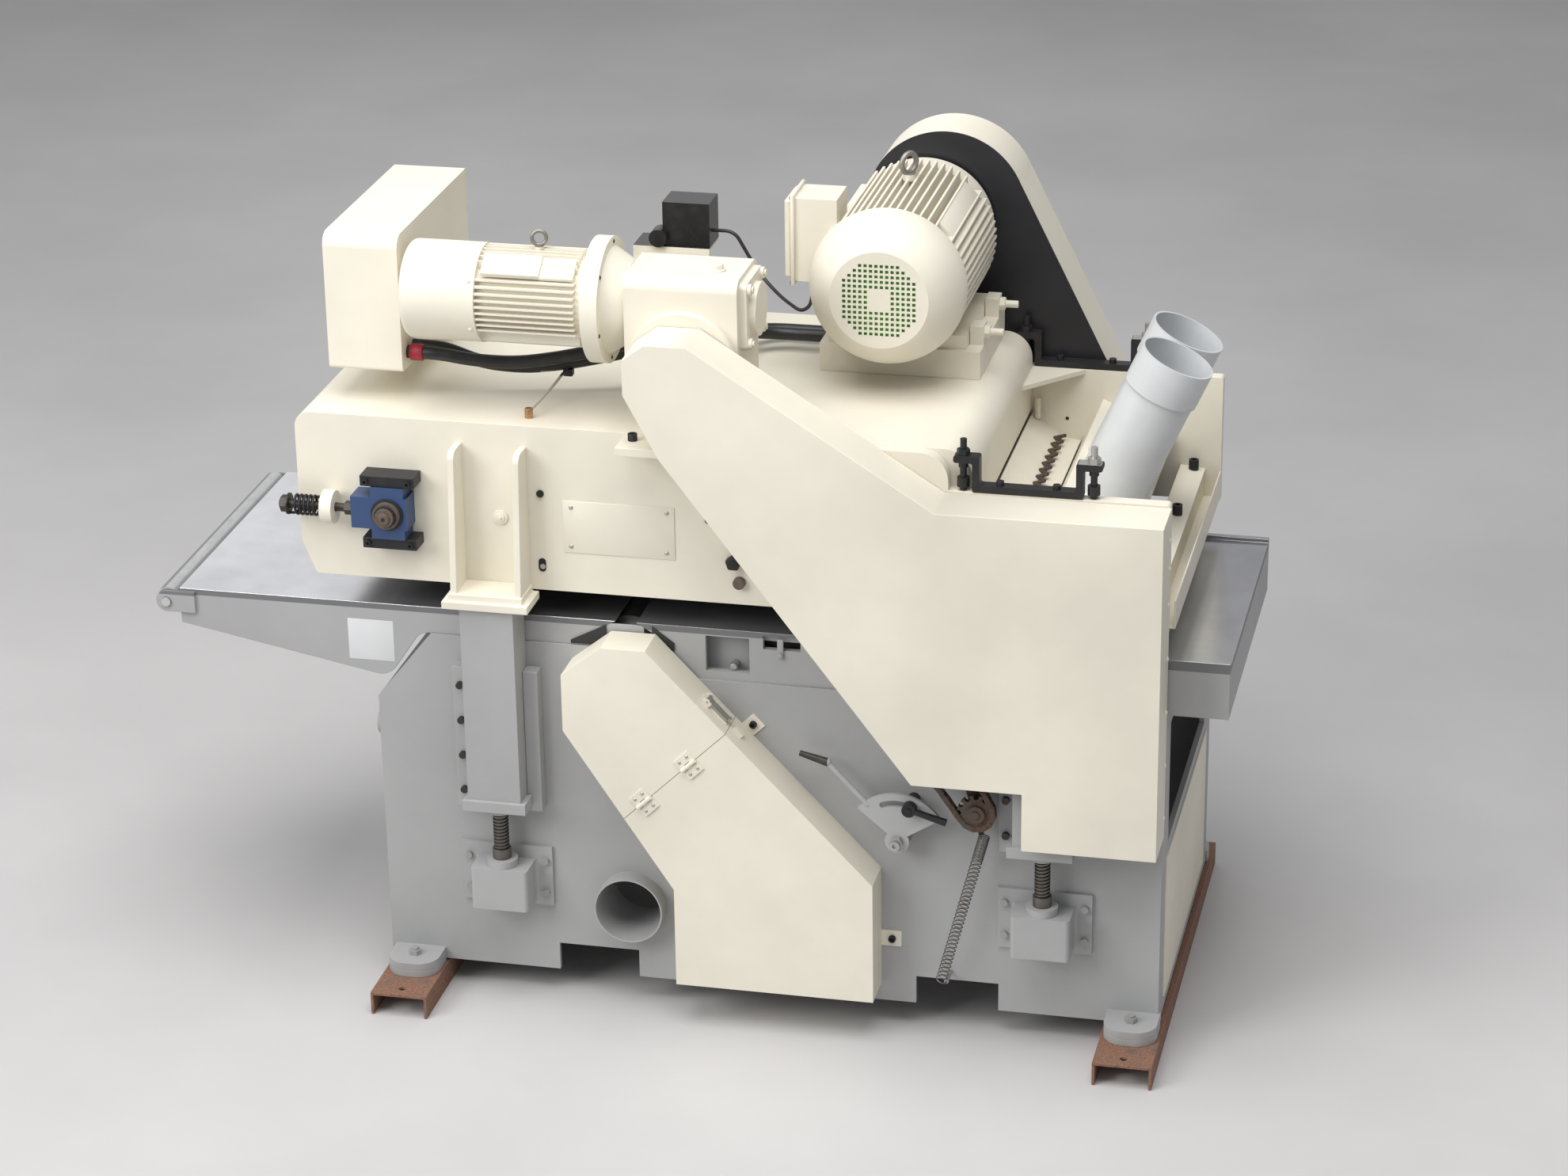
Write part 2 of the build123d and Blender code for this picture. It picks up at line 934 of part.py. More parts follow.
def pulley(centre, radius, side, belts, span):
    """A grooved pulley on the front or the rear of the machine."""
    bar("y", centre, span, radius)
    for place in belts:
        groove = reach(side, place - belt_width / 2 - gap, place + belt_width / 2 + gap)
        bar("y", centre, groove, radius + belt_proud, mode=Mode.SUBTRACT)
        bar("y", centre, groove, radius - belt_groove)


def belts_round(pulleys, side, belts):
    """One closed belt in each groove of a pair of pulleys."""
    for place in belts:
        span = reach(side, place - belt_width / 2, place + belt_width / 2)
        hull(pulleys, band_gap - belt_groove + belt_height, span)
        hull(pulleys, band_gap - belt_groove, span, mode=Mode.SUBTRACT)


def sprocket(centre, teeth):
    """A sprocket in the plane of the feed chain."""
    ring = pitch_radius(teeth)
    span = (-chain_reach - tooth_half, -chain_reach + tooth_half)
    with BuildSketch(drawing_plane("y", span)) as face:
        with Locations(centre):
            Circle(ring + tooth_height)
            with PolarLocations(ring, teeth):
                Circle(chain_roller_radius + band_gap, mode=Mode.SUBTRACT)
    extrude(face.sketch, amount=length(span))


def cutter(centre, span, axis_span):
    """A cutter block with knife bars on its shaft."""
    bar("y", centre, span, cutter_radius)
    x, z = centre
    for turn in range(knife_count):
        with BuildSketch(drawing_plane("y", span)) as face:
            with Locations(Pos(x, z) * Rot(0, 0, 360 / knife_count * (turn + 0.5))):
                with Locations((knife_radius / 2, 0)):
                    Rectangle(knife_radius, knife_width)
        extrude(face.sketch, amount=length(span))
    with BuildSketch(drawing_plane("y", span)) as limit:
        with Locations(centre):
            Circle(knife_radius)
    extrude(limit.sketch, amount=length(span), mode=Mode.INTERSECT)
    bar("y", centre, axis_span, journal_radius)


def fins(axis, centre, span, radius, pitch, thickness):
    """Parallel cooling fins on the four sides of a motor body, out to a radius."""
    count = int(fin_spread * radius / pitch)
    with BuildSketch(drawing_plane(axis, span)) as face:
        for i in range(-count, count + 1):
            reach_out = 2 * sqrt(radius * radius - i * i * pitch * pitch)
            with Locations((centre[0], centre[1] + i * pitch)):
                Rectangle(reach_out, thickness)
            with Locations((centre[0] + i * pitch, centre[1])):
                Rectangle(thickness, reach_out)
    extrude(face.sketch, amount=length(span))


def corners_of(half):
    """The corners of a square about the middle."""
    return [(-half, -half), (half, -half), (half, half), (-half, half)]


def eyebolt(foot, radius, turn):
    """A lifting eye that stands on a motor, turned about its stem."""
    stem = eye_foot_share * radius
    strut(foot - Vector(0, 0, eye_foot_root), foot + Vector(0, 0, stem), stem)
    centre = foot + Vector(0, 0, stem + radius)
    side = Vector(cos(radians(turn)), sin(radians(turn)), 0)
    with BuildSketch(Plane(origin=centre + side * radius, z_dir=(0, 0, 1))) as wire:
        Circle(eye_wire_share * radius)
    revolve(wire.sketch, axis=Axis(centre, Vector(-side.Y, side.X, 0)))


def biarc(start, start_tangent, end, end_tangent):
    """Two arcs that join two points and keep both tangents."""
    chord = end - start
    both = start_tangent + end_tangent
    spread = 2 * (1 - start_tangent.dot(end_tangent))
    lean = chord.dot(both)
    if spread < 1e-6:
        reach_out = chord.dot(chord) / (4 * chord.dot(end_tangent))
    else:
        reach_out = (sqrt(lean * lean + spread * chord.dot(chord)) - lean) / spread
    first = start + start_tangent * reach_out
    second = end - end_tangent * reach_out
    middle = (first + second) * 0.5
    TangentArc(start, middle, tangent=start_tangent)
    TangentArc(middle, end, tangent=(second - first).normalized())


def clearance_along(points, wire):
    """The least gap between turns of a wire, measured on points a turn or so apart."""
    least = 1e9
    for i, point in enumerate(points):
        for other in points[i + 9:i + 40]:
            least = min(least, (point - other).length - wire)
    return least


# Skids: two inverted channels that lie on the floor
with BuildPart() as skid_channels:
    skid_span = (-skid_front_reach, base_depth + skid_rear_reach)
    for x in skid_centres:
        outer = (x - skid_width / 2, x + skid_width / 2)
        block(outer, skid_span, (0, skid_height))
        inner = (outer[0] + skid_wall, outer[1] - skid_wall)
        block(inner, skid_span, (0, skid_height - skid_wall), mode=Mode.SUBTRACT)
        for y in (skid_span[0] + skid_hole_inset, skid_span[1] - skid_hole_inset):
            bar("z", (x, y), (0, skid_height), skid_hole_radius, mode=Mode.SUBTRACT)
        for y in (-foot_bolt_reach, base_depth + foot_rear_bolt_reach):
            bar("z", (x, y), (0, skid_height), foot_bolt_radius + gap, mode=Mode.SUBTRACT)
skid_channels.part.label = "skid_channels"
export_step(skid_channels.part, "parts/skid_channels.step")


def foot_outline(x, side):
    """A foot's plan: flat on the base, round at its outer end."""
    half = foot_width / 2
    depth = foot_reach if side == "front" else foot_rear_reach
    near = out(side, gap)
    far = out(side, depth)
    return [(x - half, near), (x - half, far), (x + half, far), (x + half, near)]


def foot_bolts():
    """The place and side of each foot's bolt."""
    for x in skid_centres:
        yield x, -foot_bolt_reach, "front"
        yield x, base_depth + foot_rear_bolt_reach, "rear"


pad_span = (skid_height, skid_height + foot_plate)
lug_span = (pad_span[1], pad_span[1] + foot_plate)

# Feet: loose D-shaped plates between the skids and the base's lugs
with BuildPart() as foot_plates:
    for x, y, side in foot_bolts():
        prism("z", foot_outline(x, side), pad_span, radii=[0, foot_round, foot_round, 0])
        bar("z", (x, y), pad_span, foot_bolt_radius + gap, mode=Mode.SUBTRACT)
foot_plates.part.label = "foot_plates"
export_step(foot_plates.part, "parts/foot_plates.step")

side_outline = [
    (0, base_bottom),
    (fork_left, base_bottom),
    (fork_left, base_bottom + fork_height),
    (fork_left + fork_width, base_bottom + fork_height),
    (fork_left + fork_width, base_bottom),
    (fork_right, base_bottom),
    (fork_right, base_bottom + fork_height),
    (fork_right + fork_width, base_bottom + fork_height),
    (fork_right + fork_width, base_bottom),
    (base_length, base_bottom),
    (base_length, base_top),
    (shoulder_end, base_top),
    (shoulder_end, shoulder_top),
    (chamfer_run, shoulder_top),
    (0, chamfer_start),
]
front_wall = (0, wall)
rear_wall = (base_depth - wall, base_depth)
front_rail = (wall, cutter_span[0] - rail_gap)
rear_rail = (cutter_span[1] + rail_gap, table_back)

# Base: a welded box with bed rails, bearing pedestals, a motor shelf and foot lugs
with BuildPart() as base_frame:
    prism("y", side_outline, front_wall)
    prism("y", side_outline, rear_wall)
    block((0, wall), (0, base_depth), (base_bottom, chamfer_start))
    block((base_length - wall, base_length), (0, base_depth), (base_bottom, base_top))
    for span in (front_rail, rear_rail):
        block((chamfer_run, base_length), span, (base_top - rail_depth, base_top))
        block((chamfer_run, shoulder_end), span, (base_top, shoulder_top))
    slope_outline = [
        (0, chamfer_start),
        (chamfer_run, shoulder_top),
        (chamfer_run, shoulder_top - slope_drop),
        (0, chamfer_start - slope_drop),
    ]
    prism("y", slope_outline, (0, base_depth))
    end_wall = (base_length - wall, base_length)
    opening_y = (end_opening_front, end_opening_back)
    block(end_wall, opening_y, (end_opening_bottom, end_opening_top), mode=Mode.SUBTRACT)
    for span in (front_rail, rear_rail):
        block((lower_cutter_x - pedestal_radius, lower_cutter_x + pedestal_radius), span,
              (base_top, lower_cutter_z))
        bar("y", (lower_cutter_x, lower_cutter_z), span, pedestal_radius)
        bar("y", (lower_cutter_x, lower_cutter_z), span, journal_radius + fit, mode=Mode.SUBTRACT)
    shelf_half = lower_motor_radius + motor_shelf_margin
    shelf_x = (lower_motor_x - shelf_half, lower_motor_x + shelf_half)
    shelf_y = (wall, lower_motor_front + lower_motor_length + motor_shelf_reach)
    block(shelf_x, shelf_y, (motor_shelf_top - wall, motor_shelf_top))
    bar("y", (lower_motor_x, lower_motor_z), front_wall, shaft_window, mode=Mode.SUBTRACT)
    outlet = (outlet_x, outlet_z)
    bar("y", outlet, (-outlet_reach, outlet_depth), outlet_radius)
    bar("y", outlet, (-outlet_reach, outlet_depth), outlet_radius - outlet_wall, mode=Mode.SUBTRACT)
    for x, y, side in foot_bolts():
        prism("z", foot_outline(x, side), lug_span, radii=[0, foot_round, foot_round, 0])
        seat = (-gap, wall) if side == "front" else (base_depth - wall, base_depth + gap)
        block((x - foot_width / 2, x + foot_width / 2), seat, lug_span)
        bar("z", (x, y), lug_span, foot_bolt_radius + gap, mode=Mode.SUBTRACT)
base_frame.part.label = "base_frame"
export_step(base_frame.part, "parts/base_frame.step")

# End panel: a sheet over the lower half of the right end
with BuildPart() as base_end_panel:
    panel_x = (base_length, base_length + panel_sheet)
    panel_y = (end_opening_front - panel_gap, end_opening_back + panel_gap)
    block(panel_x, panel_y, (panel_bottom, end_opening_bottom - panel_gap))
base_end_panel.part.label = "base_end_panel"
export_step(base_end_panel.part, "parts/base_end_panel.step")

lip_top_left = lower_cutter_x - mouth_gap
lip_under_left = lip_top_left - mouth_bevel
lip_top_right = lower_cutter_x + mouth_gap
lip_under_right = lip_top_right + mouth_bevel
plate_bottom = table_top - table_plate
skirt_front = (table_front, table_front + skirt)
skirt_back = (table_back - skirt, table_back)

# Infeed table: a machined plate on deep curved side skirts, with the end roller's brackets
with BuildPart() as infeed_table:
    infeed_plate = [
        (-infeed_reach, plate_bottom),
        (lip_under_left, plate_bottom),
        (lip_top_left, table_top),
        (-infeed_reach, table_top),
    ]
    prism("y", infeed_plate, (table_front, table_back))
    infeed_side = [
        (-infeed_reach, table_top - infeed_end_height),
        (knee_x, knee_z),
        (throat_x, shoulder_top),
        (shoulder_end, shoulder_top),
        (shoulder_end, plate_bottom),
        (-infeed_reach, plate_bottom),
    ]
    for span in (skirt_front, skirt_back):
        prism("y", infeed_side, span, radii=[0, knee_round, knee_round, 0, 0, 0])
    end_x = (-infeed_reach, -infeed_reach + skirt)
    block(end_x, (table_front, table_back), (table_top - infeed_end_height, plate_bottom))
    for span in ((table_front - bracket_plate, table_front), (table_back, table_back + bracket_plate)):
        bar("y", (-roller_reach, roller_z), span, bracket_radius)
        bracket_x = (-roller_reach, -infeed_reach + bracket_tail)
        block(bracket_x, span, (roller_z - bracket_radius, roller_z + bracket_radius))
        bar("y", (-roller_reach, roller_z), span, axle_radius + fit, mode=Mode.SUBTRACT)
infeed_table.part.label = "infeed_table"
export_step(infeed_table.part, "parts/infeed_table.step")

# Outfeed table: plate, side skirts with a hand pocket, end plate and low edge strips
with BuildPart() as outfeed_table:
    outfeed_plate = [
        (lip_under_right, plate_bottom),
        (right_reach, plate_bottom),
        (right_reach, table_top),
        (lip_top_right, table_top),
    ]
    prism("y", outfeed_plate, (table_front, table_back))
    for span in (skirt_front, skirt_back):
        block((lip_under_right, right_reach), span, (base_top, plate_bottom))
        block((right_reach - strip_length, right_reach), span, (table_top, table_top + strip_height))
    block((right_reach - skirt, right_reach), (table_front, table_back), (base_top, plate_bottom))
    pocket = (pocket_left, pocket_left + pocket_width)
    block(pocket, skirt_front, (pocket_bottom, pocket_bottom + pocket_height), mode=Mode.SUBTRACT)
    latch_slot = (slot_left, slot_left + slot_width)
    block(latch_slot, skirt_front, (slot_bottom, slot_bottom + slot_height), mode=Mode.SUBTRACT)
    for span in (skirt_front, skirt_back):
        bar("y", (feed_roller_x, feed_roller_z), span, feed_journal_radius + fit, mode=Mode.SUBTRACT)
    roller_slot = feed_roller_radius + feed_roller_room
    slot_x = (feed_roller_x - roller_slot, feed_roller_x + roller_slot)
    block(slot_x, (skirt_front[1], skirt_back[0]), (plate_bottom, table_top), mode=Mode.SUBTRACT)
outfeed_table.part.label = "outfeed_table"
export_step(outfeed_table.part, "parts/outfeed_table.step")

# End roller at the infeed end
with BuildPart() as end_roller:
    roller_span = (table_front + roller_end_gap, table_back - roller_end_gap)
    bar("y", (-roller_reach, roller_z), roller_span, roller_radius)
    axle_out = bracket_plate + axle_reach
    bar("y", (-roller_reach, roller_z), (table_front - axle_out, table_back + axle_out), axle_radius)
end_roller.part.label = "end_roller"
export_step(end_roller.part, "parts/end_roller.step")

# Powered roller in the outfeed table with its chain sprocket
with BuildPart() as feed_roller:
    feed_centre = (feed_roller_x, feed_roller_z)
    feed_span = (skirt_front[1] + feed_roller_end_gap, skirt_back[0] - feed_roller_end_gap)
    bar("y", feed_centre, feed_span, feed_roller_radius)
    bar("y", feed_centre, (-chain_reach - feed_shaft_reach, skirt_back[1]), feed_journal_radius)
    sprocket(feed_centre, feed_teeth)
feed_roller.part.label = "feed_roller"
export_step(feed_roller.part, "parts/feed_roller.step")

# Lower motor on its shelf
with BuildPart() as lower_motor:
    motor_axis = (lower_motor_x, lower_motor_z)
    body_y = (lower_motor_front, lower_motor_front + lower_motor_length)
    bar("y", motor_axis, body_y, lower_motor_radius)
    fins("y", motor_axis, body_y, lower_motor_radius + lower_fin, lower_fin_pitch, lower_fin_thickness)
    bar("y", motor_axis, (body_y[1], body_y[1] + lower_fan_length), lower_motor_radius + lower_fan_step)
    shield_front = lower_motor_front - lower_shield_length
    bar("y", motor_axis, (shield_front, lower_motor_front), lower_shield_radius)
    lower_foot_x = (lower_motor_x - lower_foot_half, lower_motor_x + lower_foot_half)
    lower_foot_y = (body_y[0] + lower_foot_inset, body_y[1] - lower_foot_inset)
    block(lower_foot_x, lower_foot_y, (motor_shelf_top, lower_motor_z - lower_foot_drop))
    shaft_end = lower_motor_front + motor_shaft_depth
    shaft_bore = (shield_front, shaft_end + motor_shaft_room)
    bar("y", motor_axis, shaft_bore, motor_shaft_radius + fit, mode=Mode.SUBTRACT)
lower_motor.part.label = "lower_motor"
export_step(lower_motor.part, "parts/lower_motor.step")

# Lower motor's shaft and pulley
with BuildPart() as lower_motor_pulley:
    pulley_span = reach("front", pulley_near, lower_pulley_far)
    pulley(motor_axis, lower_motor_pulley_radius, "front", front_belts, pulley_span)
    bar("y", motor_axis, (pulley_span[0] - shaft_stub, shaft_end), motor_shaft_radius)
lower_motor_pulley.part.label = "lower_motor_pulley"
export_step(lower_motor_pulley.part, "parts/lower_motor_pulley.step")

# Lower cutterhead with its pulley
with BuildPart() as lower_cutterhead:
    lower_axis = (lower_cutter_x, lower_cutter_z)
    cutter(lower_axis, cutter_span, (-lower_pulley_far - shaft_stub, rear_rail[1] - journal_end_gap))
    pulley(lower_axis, lower_cutter_pulley_radius, "front", front_belts, pulley_span)
lower_cutterhead.part.label = "lower_cutterhead"
export_step(lower_cutterhead.part, "parts/lower_cutterhead.step")

# Lower drive belts
with BuildPart() as lower_drive_belts:
    belts_round(lower_pulleys, "front", front_belts)
lower_drive_belts.part.label = "lower_drive_belts"
export_step(lower_drive_belts.part, "parts/lower_drive_belts.step")

# The lower belt cover's outline is cut by a seam across the belt's run
left_low = Vector(cover_foot_left, cover_left_knee_z)
left_high = Vector(cover_cheek_x, cover_cheek_low)
right_low = Vector(cover_foot_right, cover_knee_z)
right_high = Vector(cover_top_right, cover_top)
run = (right_high - right_low).normalized()
across = Vector(-run.Y, run.X) * -1
seam_left = left_low + (left_high - left_low) * seam_share_left
seam_right = seam_left + across * ((right_low - seam_left).dot(across))
flat = [(p.X, p.Y) for p in (left_low, left_high, right_low, right_high, seam_left, seam_right)]
lower_outline = [
    flat[4],
    flat[5],
    flat[2],
    (cover_foot_right, cover_foot_z),
    (cover_foot_left, cover_foot_z),
    flat[0],
]
flap_outline = [
    flat[4],
    flat[1],
    (cover_cheek_x, cover_cheek_high),
    (cover_top_left, cover_top),
    flat[3],
    flat[5],
]


def on_seam(along, up):
    """A place on the cover's front, along the seam and up the belt's run."""
    place = seam_left + across * along + run * up
    return (place.X, place.Y)


def seam_box(along, up, span, mode=Mode.ADD):
    """A slab on the cover's front, square to the seam."""
    corners = [on_seam(a, u) for a, u in ((along[0], up[0]), (along[1], up[0]), (along[1], up[1]),
                                          (along[0], up[1]))]
    prism("y", corners, span, mode=mode)


def knuckle(along, radius, mode=Mode.ADD):
    """A hinge knuckle or pin that lies along the seam."""
    ends = [on_seam(a, 0) for a in along]
    start, end = [spot(x, -belt_cover_depth - knuckle_radius - band_gap, z) for x, z in ends]
    with BuildSketch(Plane(origin=start, z_dir=end - start)) as face:
        Circle(radius)
    extrude(face.sketch, amount=(end - start).length, mode=mode)


leaf_span = (-belt_cover_depth - leaf_sheet, -belt_cover_depth)
leaf_start = knuckle_radius + leaf_clear
seam_length = (seam_right - seam_left).length
cover_span = (-belt_cover_depth, -gap)
cover_inside = (-belt_cover_depth + sheet, 0)
cover_middle = -belt_cover_depth / 2

# Lower belt cover, its hinge leaves, its fixing tabs and the latch's keeper
with BuildPart() as lower_belt_cover:
    prism("y", lower_outline, (-belt_cover_depth, 0))
    inner_prism(lower_outline, sheet, cover_inside)
    seam_box((sheet, seam_length - sheet), (-2 * sheet, sheet), cover_inside, mode=Mode.SUBTRACT)
    seam_box((-sheet, seam_length + sheet), (-seam_clear, sheet), (-belt_cover_depth, 0), mode=Mode.SUBTRACT)
    for middle in hinge_offsets:
        leaf = (middle - hinge_half, middle + hinge_half)
        barrel = (middle - knuckle_half, middle + knuckle_half)
        seam_box(leaf, (-hinge_leaf, -leaf_start), leaf_span)
        seam_box(barrel, (-leaf_start, -seam_clear), leaf_span)
        knuckle(barrel, knuckle_radius)
        knuckle(barrel, pin_radius + fit, mode=Mode.SUBTRACT)
    keeper_y = (cover_middle - keeper_half, cover_middle + keeper_half)
    seam_box((seam_length - sheet, seam_length + keeper_reach), keeper_span, keeper_y)
    seam_box((seam_length - sheet, seam_length + tab_reach), tab_span, (-sheet, 0))
    tab_z = (cover_foot_z + foot_tab_span[0], cover_foot_z + foot_tab_span[1])
    block((cover_foot_right - sheet, cover_foot_right + foot_tab_reach), (-sheet, 0), tab_z)
lower_belt_cover.part.label = "lower_belt_cover"
export_step(lower_belt_cover.part, "parts/lower_belt_cover.step")

# Hinged upper flap of the lower belt cover
with BuildPart() as cover_flap:
    prism("y", flap_outline, cover_span)
    inner_prism(flap_outline, sheet, cover_inside)
    seam_box((sheet, seam_length - sheet), (-sheet, 2 * sheet), cover_inside, mode=Mode.SUBTRACT)
    seam_box((-sheet, seam_length + sheet), (-sheet, seam_clear), cover_span, mode=Mode.SUBTRACT)
    for middle in hinge_offsets:
        leaf = (middle - hinge_half, middle + hinge_half)
        seam_box(leaf, (leaf_start, hinge_leaf), leaf_span)
        barrel_end = knuckle_half + band_gap
        for barrel in ((leaf[0], middle - barrel_end), (middle + barrel_end, leaf[1])):
            seam_box(barrel, (seam_clear, leaf_start), leaf_span)
            knuckle(barrel, knuckle_radius)
        knuckle(leaf, pin_radius)
    latch_y = (cover_middle - latch_width / 2, cover_middle + latch_width / 2)
    latch_on = seam_length - sheet / 2
    latch_rise = (latch_seat_low, latch_length + latch_seat_beyond)
    seam_box((latch_on, seam_length + latch_seat), latch_rise, latch_y)
    ear = seam_length + ear_reach
    latch_pin = on_seam(ear - ear_edge, latch_length + latch_pin_rise)
    for low in (latch_y[0] - ear_sheet, latch_y[1] + band_gap):
        ear_y = (low, low + ear_sheet - band_gap)
        seam_box((latch_on, ear), (latch_length, latch_length + ear_length), ear_y)
        bar("y", latch_pin, ear_y, ear_radius)
        bar("y", latch_pin, ear_y, latch_pin_radius + fit, mode=Mode.SUBTRACT)
cover_flap.part.label = "cover_flap"
export_step(cover_flap.part, "parts/cover_flap.step")

# Toggle latch lever on the flap's right edge
with BuildPart() as cover_latch:
    lever_lift = seam_length + latch_seat + gap
    lever_y = (latch_y[0] + gap, latch_y[1] - gap)
    latch_bar = (lever_lift, lever_lift + latch_lever)
    seam_box(latch_bar, (latch_lever_low, latch_length + latch_pin_rise), lever_y)
    bar("y", latch_pin, lever_y, latch_eye)
    bar("y", latch_pin, (latch_y[0] - ear_sheet, latch_y[1] + ear_sheet), latch_pin_radius)
    hook_y = (lever_y[0] + latch_hook_inset, lever_y[1] - latch_hook_inset)
    seam_box((lever_lift, lever_lift + latch_hook), (latch_hook_low, latch_lever_low), hook_y)
cover_latch.part.label = "cover_latch"
export_step(cover_latch.part, "parts/cover_latch.step")

jack_box_span = (jack_box_bottom, jack_box_bottom + jack_box_height)
jack_ring_top = jack_box_span[1] + jack_ring_height
screw_foot = jack_box_bottom + screw_floor

# Jacks: a plate, a gear case and a bearing ring under each lift screw
with BuildPart() as jack_housings:
    for x, side in lifts.values():
        half = jack_plate_width / 2
        plate_z = (jack_plate_bottom, jack_plate_bottom + jack_plate_height)
        block((x - half, x + half), reach(side, 0, jack_plate), plate_z)
        half = jack_box_width / 2
        block((x - half, x + half), reach(side, jack_plate, jack_box_reach), jack_box_span)
        screw_place = (x, out(side, screw_reach))
        bar("z", screw_place, (jack_box_span[1], jack_ring_top), jack_ring_radius)
        bar("z", screw_place, (screw_foot, jack_ring_top), screw_journal_radius + fit, mode=Mode.SUBTRACT)
    upright = jack_housings.edges().filter_by(Axis.Z).filter_by(GeomType.LINE)
    fillet([e for e in upright if abs(e.length - jack_box_height) < fit], radius=jack_box_round)
jack_housings.part.label = "jack_housings"
export_step(jack_housings.part, "parts/jack_housings.step")

# Lift screws, one node each
for name, (x, side) in lifts.items():
    screw_place = (x, out(side, screw_reach))
    with BuildPart() as lift_screw:
        bar("z", screw_place, (screw_foot + fit, jack_ring_top + jack_journal_rise), screw_journal_radius)
        bar("z", screw_place, (jack_ring_top, screw_top), screw_radius)
    lift_screw.part.label = f"lift_screw_{name}"
    export_step(lift_screw.part, f"parts/lift_screw_{name}.step")

# Guide strips beside the sliding columns
strip_z = (strip_bottom, base_top)
with BuildPart() as guide_strips:
    for x, side in lifts.values():
        inner_left = x - column_width / 2 - gap
        inner_right = x + column_width / 2 + gap
        block((inner_left - strip_wide, inner_left), reach(side, 0, strip_depth), strip_z)
        block((inner_right, inner_right + strip_narrow), reach(side, 0, strip_depth), strip_z)
guide_strips.part.label = "guide_strips"
export_step(guide_strips.part, "parts/guide_strips.step")

lever_depths = (-lever_standoff - lever_plate, -lever_standoff)
clamp_x = lever_x + slot_radius * cos(radians(clamp_angle))
clamp_z = lever_z + slot_radius * sin(radians(clamp_angle))
arm_depths = (-arm_standoff - arm_plate, -arm_standoff)
spring_depth = arm_depths[0] - spring_wire - band_gap
spring_top = spot(spring_top_x, spring_depth, spring_top_z)
spring_foot = spot(spring_foot_x, spring_depth, spring_foot_z)
spring_axis = (spring_foot - spring_top).normalized()
spring_side = Vector(0, 1, 0).cross(spring_axis)
anchor = spring_foot - spring_side * spring_radius

# Bolts and studs on the base
with BuildPart() as frame_bolts:
    for x, y, side in foot_bolts():
        bar("z", (x, y), (skid_height - foot_bolt_below, lug_span[1] + foot_bolt_above), foot_bolt_radius)
        hexagon("z", (x, y), (lug_span[1], lug_span[1] + foot_nut_height), foot_nut)
    for x, side in lifts.values():
        for sign in (-1, 1):
            across_x = x + sign * (jack_plate_width / 2 - jack_bolt_inset)
            plate_top = jack_plate_bottom + jack_plate_height
            for z in (jack_plate_bottom + jack_bolt_rise, plate_top - jack_bolt_rise):
                bar("y", (across_x, z), reach(side, jack_plate, jack_plate + bolt_head_height), bolt_head / 2)
        gib_x = x - column_width / 2 - gap - gib_bolt_inset
        for i in range(gib_bolt_count):
            z = strip_bottom + (base_top - strip_bottom) * (i + 0.5) / gib_bolt_count
            bar("y", (gib_x, z), reach(side, strip_depth, strip_depth + bolt_head_height), bolt_head / 2)
    lever_centre = (lever_x, lever_z)
    lever_end = lever_depths[0] - lever_pin_reach
    bar("y", lever_centre, (-lever_standoff + gap, 0), lever_hub)
    bar("y", lever_centre, (lever_end, 0), lever_pin_radius)
    hexagon("y", lever_centre, (lever_end, lever_depths[0] - gap), lever_nut)
    boss_span = (-lever_standoff + clamp_boss_gap, 0)
    bar("y", (clamp_x, clamp_z), boss_span, clamp_boss_radius)
    bar("y", (clamp_x, clamp_z), boss_span, clamp_stud_radius + fit, mode=Mode.SUBTRACT)
    arm_pivot = (arm_pivot_x, arm_pivot_z)
    bar("y", arm_pivot, (-arm_standoff + gap, 0), arm_boss_radius)
    bar("y", arm_pivot, (arm_depths[0] - arm_bolt_reach, 0), arm_pin_radius)
    hexagon("y", arm_pivot, (arm_depths[0] - arm_bolt_reach, arm_depths[0] - gap), arm_nut)
    anchor_place = (anchor.X - base_left, anchor.Z)
    bar("y", anchor_place, (spring_depth + spring_wire + band_gap, 0), anchor_radius)
frame_bolts.part.label = "frame_bolts"
export_step(frame_bolts.part, "parts/frame_bolts.step")

# Adjusting lever: a slotted sector with a bent rod and a grip
with BuildPart() as adjust_lever:
    with BuildSketch(drawing_plane("y", lever_depths)) as sector:
        with Locations(lever_centre):
            Circle(lever_hub)
        with BuildLine():
            rim = CenterArc(lever_centre, lever_radius, lever_from, lever_sweep)
            Polyline(rim @ 1, lever_centre, rim @ 0)
        make_face()
        with Locations(lever_centre):
            Circle(lever_pin_radius + fit, mode=Mode.SUBTRACT)
    extrude(sector.sketch, amount=lever_plate)
    with BuildSketch(drawing_plane("y", lever_depths)) as slot:
        with BuildLine(mode=Mode.PRIVATE):
            slot_path = CenterArc(lever_centre, slot_radius, slot_from, slot_to - slot_from)
        SlotArc(slot_path, 2 * slot_half)
    extrude(slot.sketch, amount=lever_plate, mode=Mode.SUBTRACT)
    lever_middle = -lever_standoff - lever_plate / 2
    lever_places = (rod_start_place, rod_bend_place, grip_end_place)
    rod_start, rod_bend, grip_end = [spot(lever_x + x, lever_middle, lever_z + z) for x, z in lever_places]
    strut(rod_start, rod_bend, lever_rod_radius)
    with Locations(rod_bend):
        Sphere(grip_radius)
    strut(rod_bend, grip_end, grip_radius, lever_rod_radius)
adjust_lever.part.label = "adjust_lever"
export_step(adjust_lever.part, "parts/adjust_lever.step")

